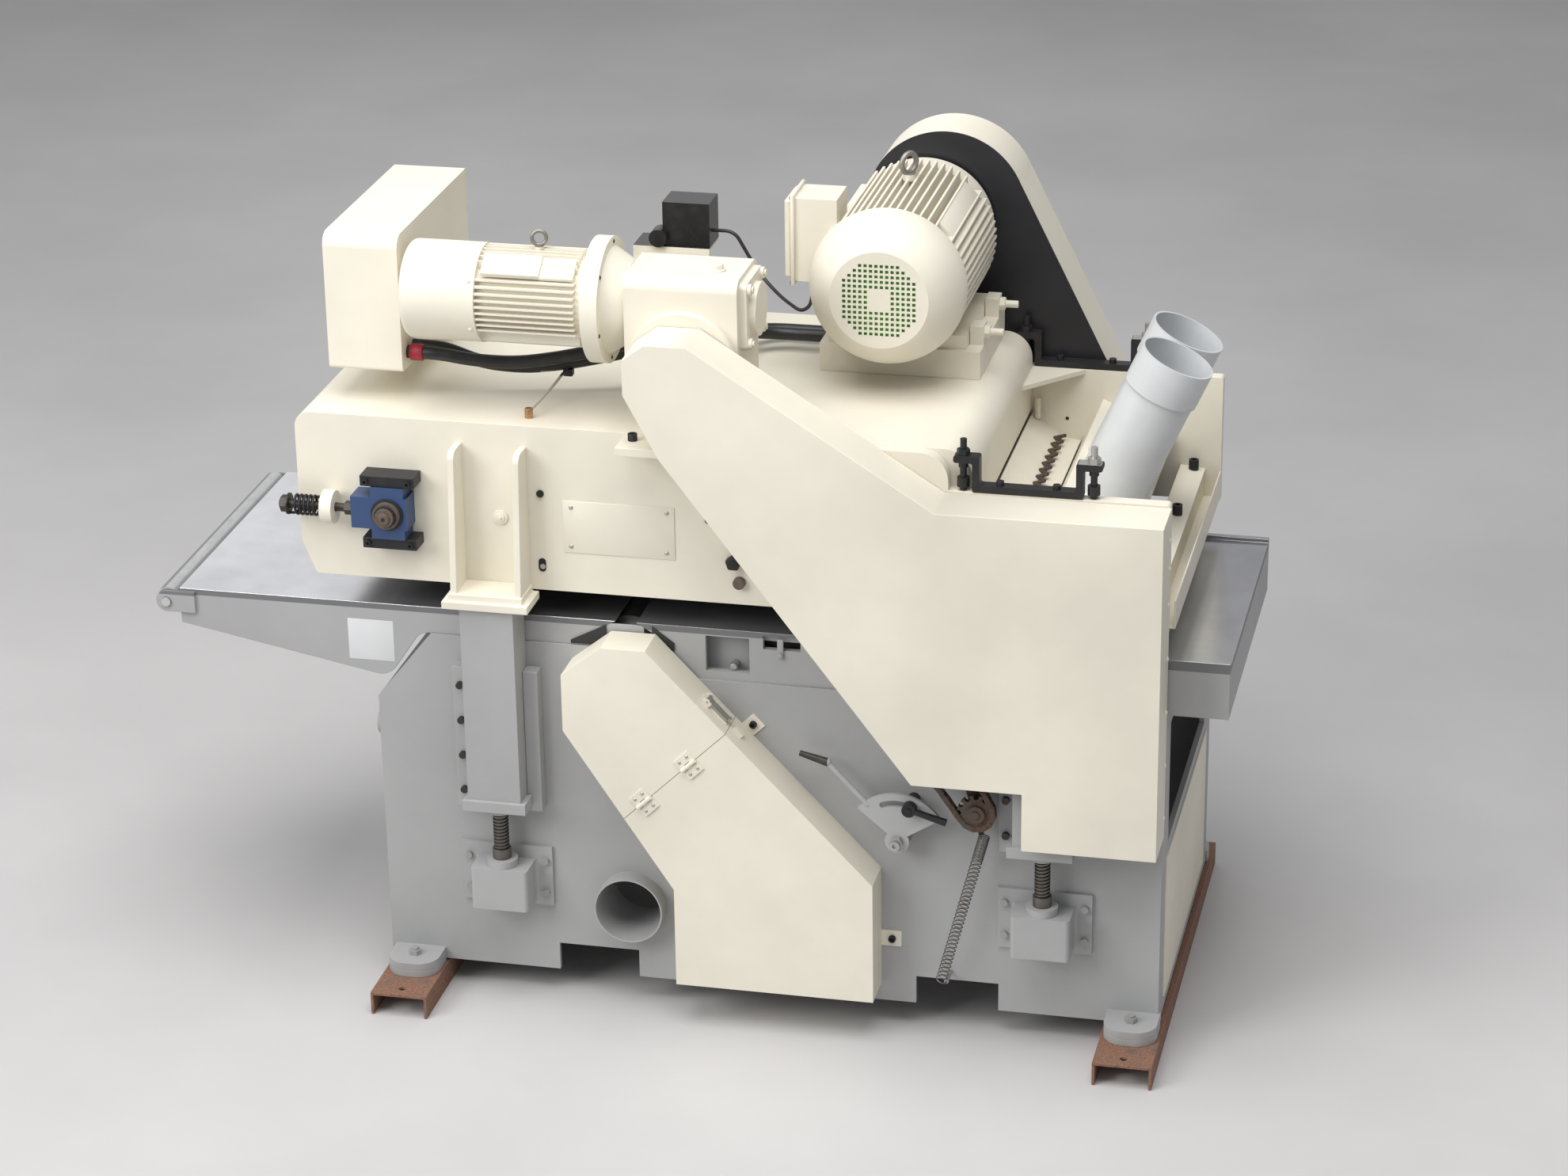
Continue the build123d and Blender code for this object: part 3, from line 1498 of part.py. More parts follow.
# Clamp handle on its stud through the sector's slot
with BuildPart() as clamp_handle:
    bar("y", (clamp_x, clamp_z), (lever_depths[0] - clamp_stud_reach, -clamp_stud_root), clamp_stud_radius)
    bar("y", (clamp_x, clamp_z), (lever_depths[0] - clamp_hub_reach, lever_depths[0] - gap), clamp_hub_radius)
    clamp_root = spot(clamp_x, lever_depths[0] - clamp_arm_reach, clamp_z)
    strut(clamp_root, clamp_root + Vector(*clamp_arm_run), clamp_arm_radius, clamp_tip_radius)
clamp_handle.part.label = "clamp_handle"
export_step(clamp_handle.part, "parts/clamp_handle.step")

tension_centre = (tension_x, tension_z)
spring_hook = spring_top + spring_side * spring_radius
hook_place = (spring_hook.X - base_left, spring_hook.Z)

# Tension arm: a flat bar from its pivot past the sprocket's pin to the spring's hook
with BuildPart() as tension_arm:
    arm_middle = (tension_x, tension_z, arm_round)
    hull([(arm_pivot_x, arm_pivot_z, arm_pivot_round), arm_middle], 0, arm_depths)
    hook_z = (hook_place[1] - hook_lip, hook_place[1] + hook_rise)
    hull([arm_middle, (hook_place[0] + hook_before, hook_z[1], arm_tail_round)], 0, arm_depths)
    block((hook_place[0] - hook_before, hook_place[0] + hook_after), arm_depths, hook_z)
    bar("y", arm_pivot, arm_depths, arm_pin_radius + fit, mode=Mode.SUBTRACT)
    bar("y", tension_centre, (-chain_reach - tension_pin_reach, arm_depths[1]), arm_pin_radius)
tension_arm.part.label = "tension_arm"
export_step(tension_arm.part, "parts/tension_arm.step")

# Tension sprocket on the arm's pin
with BuildPart() as tension_sprocket:
    sprocket(tension_centre, tension_teeth)
    hub_span = (-chain_reach - tension_hub_reach, arm_depths[0] - gap)
    bar("y", tension_centre, hub_span, tension_hub_radius)
    bar("y", tension_centre, hub_span, arm_pin_radius + fit, mode=Mode.SUBTRACT)
tension_sprocket.part.label = "tension_sprocket"
export_step(tension_sprocket.part, "parts/tension_sprocket.step")

# Tension spring: tight turns above, drawn-out turns below, an end square to each seat
spring_length = (spring_foot - spring_top).length
open_pitch = (spring_length - tight_coils * tight_pitch) / (open_coils + 0.5)
half_steps = [tight_pitch / 2] * (2 * tight_coils) + [open_pitch / 2] * (2 * open_coils + 1)
heights = [sum(half_steps[:i]) for i in range(len(half_steps) + 1)]
end_run = Vector(0, spring_wire, 0)


def on_spring(index):
    """The wire's middle after some half turns, and its direction there."""
    sign = 1 if index % 2 == 0 else -1
    point = spring_top + spring_axis * heights[index] + spring_side * (spring_radius * sign)
    steps = half_steps[max(0, index - 1):index + 1]
    climb = sum(steps) / len(steps) / pi
    if index in (0, len(half_steps)):
        climb = 0
    direction = spring_axis * climb + Vector(0, -sign * spring_radius, 0)
    return point, direction.normalized()


with BuildPart() as tension_spring:
    turns = [on_spring(i) for i in range(len(half_steps) + 1)]
    with BuildLine() as spring_line:
        Line(turns[0][0] + end_run, turns[0][0])
        for (start, start_way), (end, end_way) in zip(turns, turns[1:]):
            biarc(start, start_way, end, end_way)
        Line(turns[-1][0], turns[-1][0] + end_run)
    with BuildSketch(Plane(origin=turns[0][0] + end_run, z_dir=(0, -1, 0))):
        Circle(spring_wire / 2)
    sweep(path=spring_line.line)
    spring_points = [spring_line.line @ (i / 1200) for i in range(1201)]
    print("tension spring gap", round(clearance_along(spring_points, spring_wire), 2))
tension_spring.part.label = "tension_spring"
export_step(tension_spring.part, "parts/tension_spring.step")


# Feed chain: two rows of link plates joined by pins between the sprockets
with BuildPart() as feed_chain:
    for low in (-chain_reach - chain_inner_half - chain_plate, -chain_reach + chain_inner_half):
        span = (low, low + chain_plate)
        loop(chain_stops, chain_plate_half, span)
        loop(chain_stops, -chain_plate_half, span, mode=Mode.SUBTRACT)
    pin_span = (-chain_reach - chain_inner_half - chain_plate, -chain_reach + chain_inner_half + chain_plate)
    for first, second in zip(chain_stops, chain_stops[1:] + chain_stops[:1]):
        start, end = strand(first, second)
        count = int((end - start).length / chain_pitch / 2)
        for i in range(1, count):
            place = start + (end - start) * (i / count)
            bar("y", (place.X, place.Y), pin_span, chain_roller_radius)
feed_chain.part.label = "feed_chain"
export_step(feed_chain.part, "parts/feed_chain.step")

takeup_centre = (idler_x, track_z)
drive_centre = (drive_x, track_z)
upper_axis = (upper_cutter_x, upper_cutter_z)

# Head plates: the front and rear side frames of the lifting head
with BuildPart() as head_side_plates:
    for span, overhang in (((0, plate), front_plate_overhang),
                           ((base_depth - plate, base_depth), rear_plate_overhang)):
        right = head_right + overhang
        plate_outline = [
            (-head_left, head_bottom + corner_rise),
            (-head_left + corner_run, head_bottom),
            (right, head_bottom),
            (right, hood_step_z),
            (hood_step_x, hood_step_z),
            (hood_step_x, head_top),
            (-head_left, head_top),
        ]
        plate_rounds = [corner_round, corner_round, 0, plate_nose, 0, shell_round, corner_high]
        prism("y", plate_outline, span, radii=plate_rounds)
        slot_x = (idler_x - takeup_slot_half, idler_x + takeup_slot_half)
        half = idler_shaft_radius + takeup_slot_gap
        block(slot_x, span, (track_z - half, track_z + half), mode=Mode.SUBTRACT)
        bar("y", drive_centre, span, drive_shaft_radius + fit, mode=Mode.SUBTRACT)
        bar("y", upper_axis, span, upper_journal_radius + fit, mode=Mode.SUBTRACT)
head_side_plates.part.label = "head_side_plates"
export_step(head_side_plates.part, "parts/head_side_plates.step")

# Top shell: a bent sheet over the head between its side plates
with BuildPart() as head_top_shell:
    shell_outline = [
        (-head_left, shell_left_bottom),
        (shell_right, shell_left_bottom),
        (shell_right, head_top),
        (-head_left, head_top),
    ]
    prism("y", shell_outline, inside, radii=[0, 0, shell_round, corner_high])
    shell_hollow = [
        (-head_left + shell_sheet, shell_left_bottom - 1),
        (shell_right - shell_sheet, shell_left_bottom - 1),
        (shell_right - shell_sheet, head_top - shell_sheet),
        (-head_left + shell_sheet, head_top - shell_sheet),
    ]
    hollow_radii = [0, 0, shell_round - shell_sheet, corner_high - shell_sheet]
    prism("y", shell_hollow, inside, radii=hollow_radii, mode=Mode.SUBTRACT)
    tail_x = (shell_right - 2 * shell_sheet, shell_right + 1)
    block(tail_x, inside, (shell_left_bottom - 1, shell_right_bottom), mode=Mode.SUBTRACT)
    cheek_outline = [
        (hood_step_x - shell_round, shell_right_bottom),
        (shell_right - 1, shell_right_bottom),
        (shell_right - 1, head_top - 1),
        (hood_step_x - shell_round, head_top - 1),
    ]
    for cheek in ((inside[0], inside[0] + cheek_sheet), (inside[1] - cheek_sheet, inside[1])):
        prism("y", cheek_outline, cheek, radii=[0, 0, shell_round, 0])
    gusset_outline = [
        (shell_right - 1, inside[1] - gusset_depth),
        (shell_right + gusset_run, inside[1]),
        (shell_right - 1, inside[1]),
    ]
    prism("z", gusset_outline, (hood_step_z - gusset_sheet, hood_step_z))
head_top_shell.part.label = "head_top_shell"
export_step(head_top_shell.part, "parts/head_top_shell.step")

# Sliding columns with their lift nuts
with BuildPart() as lift_columns:
    for x, side in lifts.values():
        half = column_width / 2
        tube_z = (column_bottom, bracket_bottom)
        block((x - half, x + half), reach(side, slide_gap, column_reach), tube_z)
        half = half - column_wall
        hollow = reach(side, slide_gap + column_wall, column_reach - column_wall)
        block((x - half, x + half), hollow, tube_z, mode=Mode.SUBTRACT)
        half = nut_plate_width / 2
        nut_z = (column_bottom - nut_plate, column_bottom)
        nut_reach = reach(side, slide_gap + strip_depth, column_reach + nut_plate_lip)
        block((x - half, x + half), nut_reach, nut_z)
        screw_place = (x, out(side, screw_reach))
        bar("z", screw_place, (nut_z[0] - nut_ring_height, nut_z[0]), nut_ring_radius)
        bar("z", screw_place, (nut_z[0] - nut_ring_height, nut_z[1]), screw_radius + nut_clearance,
            mode=Mode.SUBTRACT)
lift_columns.part.label = "lift_columns"
export_step(lift_columns.part, "parts/lift_columns.step")

# Column brackets: stepped feet with two ribs, welded to the head plates
with BuildPart() as column_brackets:
    for x, side in lifts.values():
        half = bracket_width / 2
        step_z = bracket_bottom + bracket_step
        top = rib_top if x < hood_step_x else hood_step_z - rib_round
        block((x - half, x + half), reach(side, 0, bracket_reach), (bracket_bottom, step_z))
        half = half - bracket_upper_inset
        upper_z = (step_z, step_z + bracket_upper_step)
        block((x - half, x + half), reach(side, 0, bracket_upper_reach), upper_z)
        rib_side = [
            (out(side, 0), upper_z[1]),
            (out(side, rib_reach), upper_z[1]),
            (out(side, rib_top_reach), top),
            (out(side, 0), top),
        ]
        for sign in (-1, 1):
            middle = x + sign * rib_offset
            rib_x = (middle - rib_thickness / 2, middle + rib_thickness / 2)
            prism("x", rib_side, rib_x, radii=[0, 0, rib_round, 0])
column_brackets.part.label = "column_brackets"
export_step(column_brackets.part, "parts/column_brackets.step")

chain_cover_outline = [
    (chain_cover_toe_x, chain_cover_step_z),
    (chain_cover_step_x, chain_cover_step_z),
    (chain_cover_step_x, chain_cover_low),
    (chain_cover_right, chain_cover_low),
    (chain_cover_right, chain_cover_shelf),
    (chain_cover_elbow_x, chain_cover_shelf),
    (chain_cover_top_right, chain_cover_top),
    (chain_cover_top_left, chain_cover_top),
    (chain_cover_cheek_x, chain_cover_cheek_high),
    (chain_cover_cheek_x, chain_cover_cheek_low),
    (chain_cover_neck_x, chain_cover_neck_z),
]

# Chain cover: a deep sheet box on the head's front, open below, with a ledge that holds it
with BuildPart() as chain_cover:
    prism("y", chain_cover_outline, (-chain_cover_depth, -chain_cover_lift))
    inner_prism(chain_cover_outline, sheet, (-chain_cover_depth + sheet, -chain_cover_lift))
    open_x = (chain_cover_toe_x + 2 * sheet, chain_cover_right - sheet)
    open_y = (-chain_cover_depth + sheet, -chain_cover_lift)
    block(open_x, open_y, (chain_cover_low - 1, chain_cover_step_z + 2 * sheet), mode=Mode.SUBTRACT)
    ledge_x = (chain_cover_neck_x - ledge_before, chain_cover_neck_x + ledge_after)
    ledge_z = (chain_cover_neck_z - ledge_below, chain_cover_neck_z + ledge_above)
    block(ledge_x, (-ledge_reach, 0), ledge_z)
    ledge_bolt = (ledge_x[0] + ledge_bolt_place[0], ledge_bolt_place[1])
    bar("z", ledge_bolt, (ledge_z[1], ledge_z[1] + bolt_head_height), bolt_head / 2)
chain_cover.part.label = "chain_cover"
export_step(chain_cover.part, "parts/chain_cover.step")

# Feed track: a wide endless band round the two drums
track_span = (plate + track_margin, base_depth - plate - track_margin)
drums = ((idler_x, track_z, drum_radius), (drive_x, track_z, drum_radius))
with BuildPart() as feed_track:
    hull(drums, track_thickness, track_span)
    hull(drums, band_gap, track_span, mode=Mode.SUBTRACT)
feed_track.part.label = "feed_track"
export_step(feed_track.part, "parts/feed_track.step")


def drum(centre):
    """A hollow drum with end discs."""
    bar("y", centre, drum_span, drum_radius)
    hollow = (drum_span[0] + drum_wall, drum_span[1] - drum_wall)
    bar("y", centre, hollow, drum_radius - drum_wall, mode=Mode.SUBTRACT)


# Drive drum with its chain sprocket
with BuildPart() as track_drive:
    drum(drive_centre)
    drive_shaft = (-chain_reach - drive_shaft_reach, base_depth - drive_shaft_inset)
    bar("y", drive_centre, drive_shaft, drive_shaft_radius)
    sprocket(drive_centre, drive_teeth)
track_drive.part.label = "track_drive"
export_step(track_drive.part, "parts/track_drive.step")

# Idler drum carried by the take-up bearings
with BuildPart() as track_idler:
    drum(takeup_centre)
    shaft_out = takeup_depth + idler_shaft_reach
    bar("y", takeup_centre, (-shaft_out, base_depth + shaft_out), idler_shaft_radius)
    for side in ("front", "rear"):
        collar = reach(side, takeup_depth + gap, takeup_depth + collar_length)
        bar("y", takeup_centre, collar, collar_radius)
track_idler.part.label = "track_idler"
export_step(track_idler.part, "parts/track_idler.step")

spring_seat = takeup_ring_left - takeup_spring_length
nut_right = spring_seat - gap

# Take-up bearings with their draw rods and nuts
with BuildPart() as takeup_unit:
    for side in ("front", "rear"):
        depth = reach(side, gap, takeup_depth)
        half_x = takeup_width / 2
        half_z = takeup_height / 2
        waist_z = (track_z - half_z + takeup_waist, track_z + half_z - takeup_waist)
        block((idler_x - takeup_shank, idler_x + half_x), depth, waist_z)
        tall_x = (idler_x - half_x + takeup_corner, idler_x + half_x - takeup_corner)
        block(tall_x, depth, (track_z - half_z, track_z + half_z))
        face = reach(side, takeup_depth, takeup_depth + band_gap / 2)
        bar("y", takeup_centre, face, collar_radius + takeup_face)
        bore = reach(side, 0, takeup_depth + gap)
        bar("y", takeup_centre, bore, idler_shaft_radius + fit, mode=Mode.SUBTRACT)
        rod_place = (out(side, takeup_reach), track_z)
        shank_left = idler_x - takeup_shank
        hexagon("x", rod_place, (shank_left - takeup_stop_nut, shank_left), takeup_stop_size)
        rod_x = (nut_right - takeup_nut_length - takeup_rod_stub, shank_left + takeup_rod_root)
        bar("x", rod_place, rod_x, takeup_rod_radius)
        washer_left = nut_right - takeup_washer
        hexagon("x", rod_place, (nut_right - takeup_nut_length, washer_left), takeup_nut_size)
        bar("x", rod_place, (washer_left, nut_right), takeup_spring_radius + takeup_spring_wire / 2)
takeup_unit.part.label = "takeup_unit"
export_step(takeup_unit.part, "parts/takeup_unit.step")

# Guide bars and spring rings of the take-up, fixed to the head plates
with BuildPart() as takeup_guides:
    for side in ("front", "rear"):
        for sign in (-1, 1):
            near = track_z + sign * (takeup_height / 2 + gap)
            far = near + sign * guide_height
            guide_x = (idler_x - guide_length / 2, idler_x + guide_length / 2)
            block(guide_x, reach(side, 0, guide_depth), (min(near, far), max(near, far)))
        ring_x = (takeup_ring_left, takeup_ring_left + takeup_ring_length)
        rod_place = (out(side, takeup_reach), track_z)
        bar("x", rod_place, ring_x, takeup_ring_radius)
        bar("x", rod_place, ring_x, takeup_rod_radius + gap, mode=Mode.SUBTRACT)
takeup_guides.part.label = "takeup_guides"
export_step(takeup_guides.part, "parts/takeup_guides.step")

takeup_pitch = (takeup_spring_length - 2 * takeup_spring_end - band_gap) / takeup_turns


def on_takeup_spring(seat, index):
    """A half turn's end on the take-up spring, and the wire's direction there."""
    angle = pi * index
    step = seat + Vector(takeup_spring_end + takeup_pitch * index / 2, 0, 0)
    point = step + Vector(0, cos(angle), 0) * takeup_spring_radius
    climb = takeup_pitch / (2 * pi)
    return point, Vector(climb, 0, cos(angle) * takeup_spring_radius).normalized()


# Take-up springs between the rings and the draw nuts
with BuildPart() as takeup_springs:
    for side in ("front", "rear"):
        seat = spot(spring_seat + band_gap / 2, out(side, takeup_reach), track_z)
        turns = [on_takeup_spring(seat, i) for i in range(2 * takeup_turns + 1)]
        first_point, first_way = turns[0]
        last_point, last_way = turns[-1]
        quarter = Vector(0, 0, takeup_spring_radius)
        start = seat - quarter
        end = seat + Vector(takeup_spring_length - band_gap, 0, 0) + quarter
        run_in = Vector(takeup_spring_wire, 0, 0)
        with BuildLine() as wire_line:
            Line(start, start + run_in)
            biarc(start + run_in, Vector(1, 0, 0), first_point, first_way)
            for (near, near_way), (far, far_way) in zip(turns, turns[1:]):
                biarc(near, near_way, far, far_way)
            biarc(last_point, last_way, end - run_in, Vector(1, 0, 0))
            Line(end - run_in, end)
        with BuildSketch(Plane(origin=start, z_dir=(1, 0, 0))):
            Circle(takeup_spring_wire / 2)
        sweep(path=wire_line.line)
        wire_points = [wire_line.line @ (i / 200) for i in range(201)]
        print("take-up spring gap", round(clearance_along(wire_points, takeup_spring_wire), 2))
takeup_springs.part.label = "takeup_springs"
export_step(takeup_springs.part, "parts/takeup_springs.step")

# Feed motor: fan cover, finned body, flange and lifting eye
feed_axis = (feed_axis_y, feed_axis_z)
with BuildPart() as feed_motor:
    bar("x", feed_axis, (fan_left, fan_right), fan_radius)
    fillet(feed_motor.edges().sort_by(Axis.X)[0], radius=fan_round)
    bar("x", feed_axis, (fan_right, feed_flange_left), feed_body_radius)
    feed_outer = feed_body_radius + feed_fin
    fins("x", feed_axis, (fan_right, feed_body_right), feed_outer, feed_fin_pitch, feed_fin_thickness)
    bar("x", feed_axis, (feed_flange_left, feed_flange_right), feed_flange_radius)
    adapter = spot(feed_flange_right, *feed_axis)
    strut(adapter, adapter + Vector(adapter_length, 0, 0), adapter_radius, adapter_end_radius)
    eye_z = feed_axis_z + feed_outer - eye_sink
    eyebolt(spot(fan_right + feed_eye_offset, feed_axis_y, eye_z), feed_eye_radius, feed_eye_turn)
feed_motor.part.label = "feed_motor"
export_step(feed_motor.part, "parts/feed_motor.step")

# Gearbox on its foot, with an output flange and a side cover
with BuildPart() as gearbox:
    gear_side = [
        (gearbox_front, gearbox_bottom),
        (gearbox_back, gearbox_bottom),
        (gearbox_back, gearbox_top),
        (gearbox_front, gearbox_top),
    ]
    gear_rounds = [gearbox_foot_round, gearbox_foot_round, gearbox_round, gearbox_round]
    prism("x", gear_side, (gearbox_left, gearbox_right), radii=gear_rounds)
    output_centre = (output_x, output_z)
    bar("y", output_centre, (output_flange_front, gearbox_front), output_flange_radius)
    bar("x", feed_axis, (gearbox_right, gearbox_right + side_dome), side_dome_radius)
    square = [(feed_axis_y + y, feed_axis_z + z) for y, z in corners_of(side_cover_half)]
    prism("x", square, (gearbox_right, gearbox_right + side_cover), radii=side_cover_round)
    for y, z in corners_of(side_cover_half - side_lug_inset):
        lug = (feed_axis_y + y, feed_axis_z + z)
        bar("x", lug, (gearbox_right, gearbox_right + side_lug), side_lug_radius)
    gear_foot_x = (gearbox_left + gearbox_foot_inset, gearbox_right - gearbox_foot_inset)
    gear_foot_y = (gearbox_front + gearbox_foot_margin, gearbox_back - gearbox_foot_margin)
    block(gear_foot_x, gear_foot_y, (head_top, gearbox_bottom))
    output_end = gearbox_front + output_shaft_depth
    output_bore = (output_flange_front, output_end + output_shaft_room)
    bar("y", output_centre, output_bore, output_shaft_radius + fit, mode=Mode.SUBTRACT)
gearbox.part.label = "gearbox"
export_step(gearbox.part, "parts/gearbox.step")

# Gearbox output shaft and sprocket
with BuildPart() as gearbox_sprocket:
    bar("y", output_centre, (-chain_reach - output_shaft_reach, output_end), output_shaft_radius)
    sprocket(output_centre, gearbox_teeth)
gearbox_sprocket.part.label = "gearbox_sprocket"
export_step(gearbox_sprocket.part, "parts/gearbox_sprocket.step")

# Motor base with its tension bolts
main_axis = (main_x, main_z)
with BuildPart() as motor_base:
    base_span = (motor_base_front, motor_base_back)
    block((motor_base_left, motor_base_right), base_span, (head_top, motor_base_top))
    for y in (motor_base_front + lug_inset, motor_base_back - lug_inset):
        lug_x = (motor_base_right - lug_thickness, motor_base_right)
        block(lug_x, (y - lug_half, y + lug_half), (motor_base_top, motor_base_top + lug_height))
        lug_bolt = (y, motor_base_top + lug_bolt_rise)
        bar("x", lug_bolt, (motor_base_right, motor_base_right + lug_bolt_length), lug_bolt_radius)
        hexagon("x", lug_bolt, (motor_base_right, motor_base_right + lug_nut_length), lug_nut)
motor_base.part.label = "motor_base"
export_step(motor_base.part, "parts/motor_base.step")

# Main motor: finned body, drive end shield, feet, terminal box and lifting eye
with BuildPart() as main_motor:
    body_span = (cowl_back - main_body_lap, main_body_back)
    bar("y", main_axis, body_span, main_body_radius)
    main_outer = main_body_radius + main_fin
    fins("y", main_axis, (cowl_back, main_body_back), main_outer, main_fin_pitch, main_fin_thickness)
    bar("y", main_axis, (main_body_back, main_drive_end), main_shield_radius)
    for sign in (-1, 1):
        foot_x = sorted((main_x + sign * foot_inner, main_x + sign * foot_spread))
        foot_y = (motor_base_front + foot_end_gap, motor_base_back - foot_end_gap)
        block(foot_x, foot_y, (motor_base_top, motor_base_top + foot_block))
    terminal_x = (terminal_left, main_x - main_body_radius + terminal_lap)
    block(terminal_x, (terminal_front, terminal_back), (terminal_bottom, terminal_top))
    eye_y = (cowl_back + main_body_back) / 2 + main_eye_offset
    eye_z = main_z + main_outer - eye_sink
    eyebolt(spot(main_x, eye_y, eye_z), main_eye_radius, main_eye_turn)
    main_shaft_end = main_drive_end - main_shaft_depth
    shaft_bore = (main_shaft_end - main_shaft_room, main_drive_end)
    bar("y", main_axis, shaft_bore, main_shaft_radius + fit, mode=Mode.SUBTRACT)
main_motor.part.label = "main_motor"
export_step(main_motor.part, "parts/main_motor.step")

# Fan cowl: a spun bowl with a grille of square holes
with BuildPart() as main_motor_cowl:
    with BuildSketch(Plane(origin=spot(main_x, 0, main_z), x_dir=(1, 0, 0), z_dir=(0, 0, 1))) as bowl:
        with BuildLine():
            rim_point = (cowl_radius, cowl_back)
            edge_point = (cowl_face_radius, cowl_front)
            inner_rim = (cowl_radius - cowl_sheet, cowl_back)
            inner_edge = (cowl_face_radius - cowl_sheet, cowl_front + cowl_sheet)
            Line((0, cowl_front), edge_point)
            TangentArc(rim_point, edge_point, tangent=(0, -1))
            Line(rim_point, inner_rim)
            TangentArc(inner_rim, inner_edge, tangent=(0, -1))
            Line(inner_edge, (0, inner_edge[1]))
            Line((0, inner_edge[1]), (0, cowl_front))
        make_face()
    revolve(bowl.sketch, axis=Axis(spot(main_x, 0, main_z), (0, 1, 0)))
    grille_span = (cowl_front - gap, cowl_front + cowl_sheet + gap)
    steps = int(grille_radius / grille_pitch)
    offsets = [(i + 0.5) * grille_pitch for i in range(-steps, steps)]
    holes = [
        (main_x + i, main_z + k)
        for i in offsets
        for k in offsets
        if sqrt(i * i + k * k) < grille_radius and max(abs(i), abs(k)) > grille_blank
    ]
    with BuildSketch(drawing_plane("y", grille_span)) as grille:
        with Locations(*holes):
            Rectangle(grille_hole, grille_hole)
    extrude(grille.sketch, amount=length(grille_span), mode=Mode.SUBTRACT)
main_motor_cowl.part.label = "main_motor_cowl"
export_step(main_motor_cowl.part, "parts/main_motor_cowl.step")

# Main motor's shaft and pulley
upper_span = reach("rear", upper_pulley_near, upper_pulley_far)
with BuildPart() as upper_motor_pulley:
    pulley(main_axis, upper_motor_pulley_radius, "rear", rear_belts, upper_span)
    bar("y", main_axis, (main_shaft_end, upper_span[1] + shaft_stub), main_shaft_radius)
upper_motor_pulley.part.label = "upper_motor_pulley"
export_step(upper_motor_pulley.part, "parts/upper_motor_pulley.step")

# Upper cutterhead with its pulley
with BuildPart() as upper_cutterhead:
    block_span = (inside[0] + upper_cutter_gap, inside[1] - upper_cutter_gap)
    shaft_span = (-upper_journal_reach, upper_span[1] + shaft_stub)
    cutter(upper_axis, block_span, shaft_span)
    for span in ((shaft_span[0], block_span[0]), (block_span[1], shaft_span[1])):
        bar("y", upper_axis, span, upper_journal_radius)
    pulley(upper_axis, upper_cutter_pulley_radius, "rear", rear_belts, upper_span)
upper_cutterhead.part.label = "upper_cutterhead"
export_step(upper_cutterhead.part, "parts/upper_cutterhead.step")

# Upper drive belts
with BuildPart() as upper_drive_belts:
    belts_round(upper_pulleys, "rear", rear_belts)
upper_drive_belts.part.label = "upper_drive_belts"
export_step(upper_drive_belts.part, "parts/upper_drive_belts.step")

cover_circles = (
    (upper_cover_x, upper_cover_z, upper_cover_radius),
    (upper_cutter_x, upper_cutter_z, upper_cover_foot_radius),
)
cover_front = upper_cover_gap + sheet

# Upper belt cover: the rim and rear wall
with BuildPart() as upper_belt_cover:
    rim_span = reach("rear", cover_front, upper_cover_gap + upper_cover_depth)
    hull(cover_circles, 0, rim_span)
    hollow = (rim_span[0], rim_span[1] - sheet)
    hull(cover_circles, -sheet, hollow, mode=Mode.SUBTRACT)
upper_belt_cover.part.label = "upper_belt_cover"
export_step(upper_belt_cover.part, "parts/upper_belt_cover.step")

# Backplate of the upper belt cover, with windows for the two shafts
with BuildPart() as upper_cover_backplate:
    back_span = reach("rear", upper_cover_gap, cover_front)
    hull(cover_circles, 0, back_span)
    bar("y", main_axis, back_span, motor_window, mode=Mode.SUBTRACT)
    bar("y", upper_axis, back_span, 2 * upper_journal_radius, mode=Mode.SUBTRACT)
    stay_span = reach("rear", 0, upper_cover_gap)
    for x, z in stay_places:
        bar("y", (upper_cutter_x + x, upper_cutter_z + z), stay_span, stay_radius)
upper_cover_backplate.part.label = "upper_cover_backplate"
export_step(upper_cover_backplate.part, "parts/upper_cover_backplate.step")

pipe_way = Vector(sin(radians(pipe_lean)), 0, cos(radians(pipe_lean)))
pipe_across = Vector(pipe_way.Z, 0, -pipe_way.X)


def on_hood(side, up):
    """A place beside the pipes' feet: across the hood and along the pipes."""
    place = Vector(pipe_foot_x, 0, pipe_foot_z) + pipe_across * side + pipe_way * up
    return (place.X, place.Z)


def pipe_feet():
    """The foot of each dust pipe."""
    return [spot(pipe_foot_x, pipe_first_y + pipe_pitch * i, pipe_foot_z) for i in range(pipe_count)]


def hood_face(half, low, high):
    """A tilted rectangle in the hood's profile."""
    return [on_hood(-half, low), on_hood(half, low), on_hood(half, high), on_hood(-half, high)]


# Dust hood over the upper cutterhead
with BuildPart() as dust_hood:
    prism("y", hood_face(hood_half, -hood_height, 0), inside)
    hood_inside = (inside[0] + hood_sheet, inside[1] - hood_sheet)
    hollow_face = hood_face(hood_half - hood_sheet, -hood_height - gap, -hood_sheet)
    prism("y", hollow_face, hood_inside, mode=Mode.SUBTRACT)
    for foot in pipe_feet():
        with BuildSketch(Plane(origin=foot - pipe_way * (2 * hood_sheet), z_dir=pipe_way)) as hole:
            Circle(pipe_radius + gap / 2)
        extrude(hole.sketch, amount=3 * hood_sheet, mode=Mode.SUBTRACT)
dust_hood.part.label = "dust_hood"
export_step(dust_hood.part, "parts/dust_hood.step")

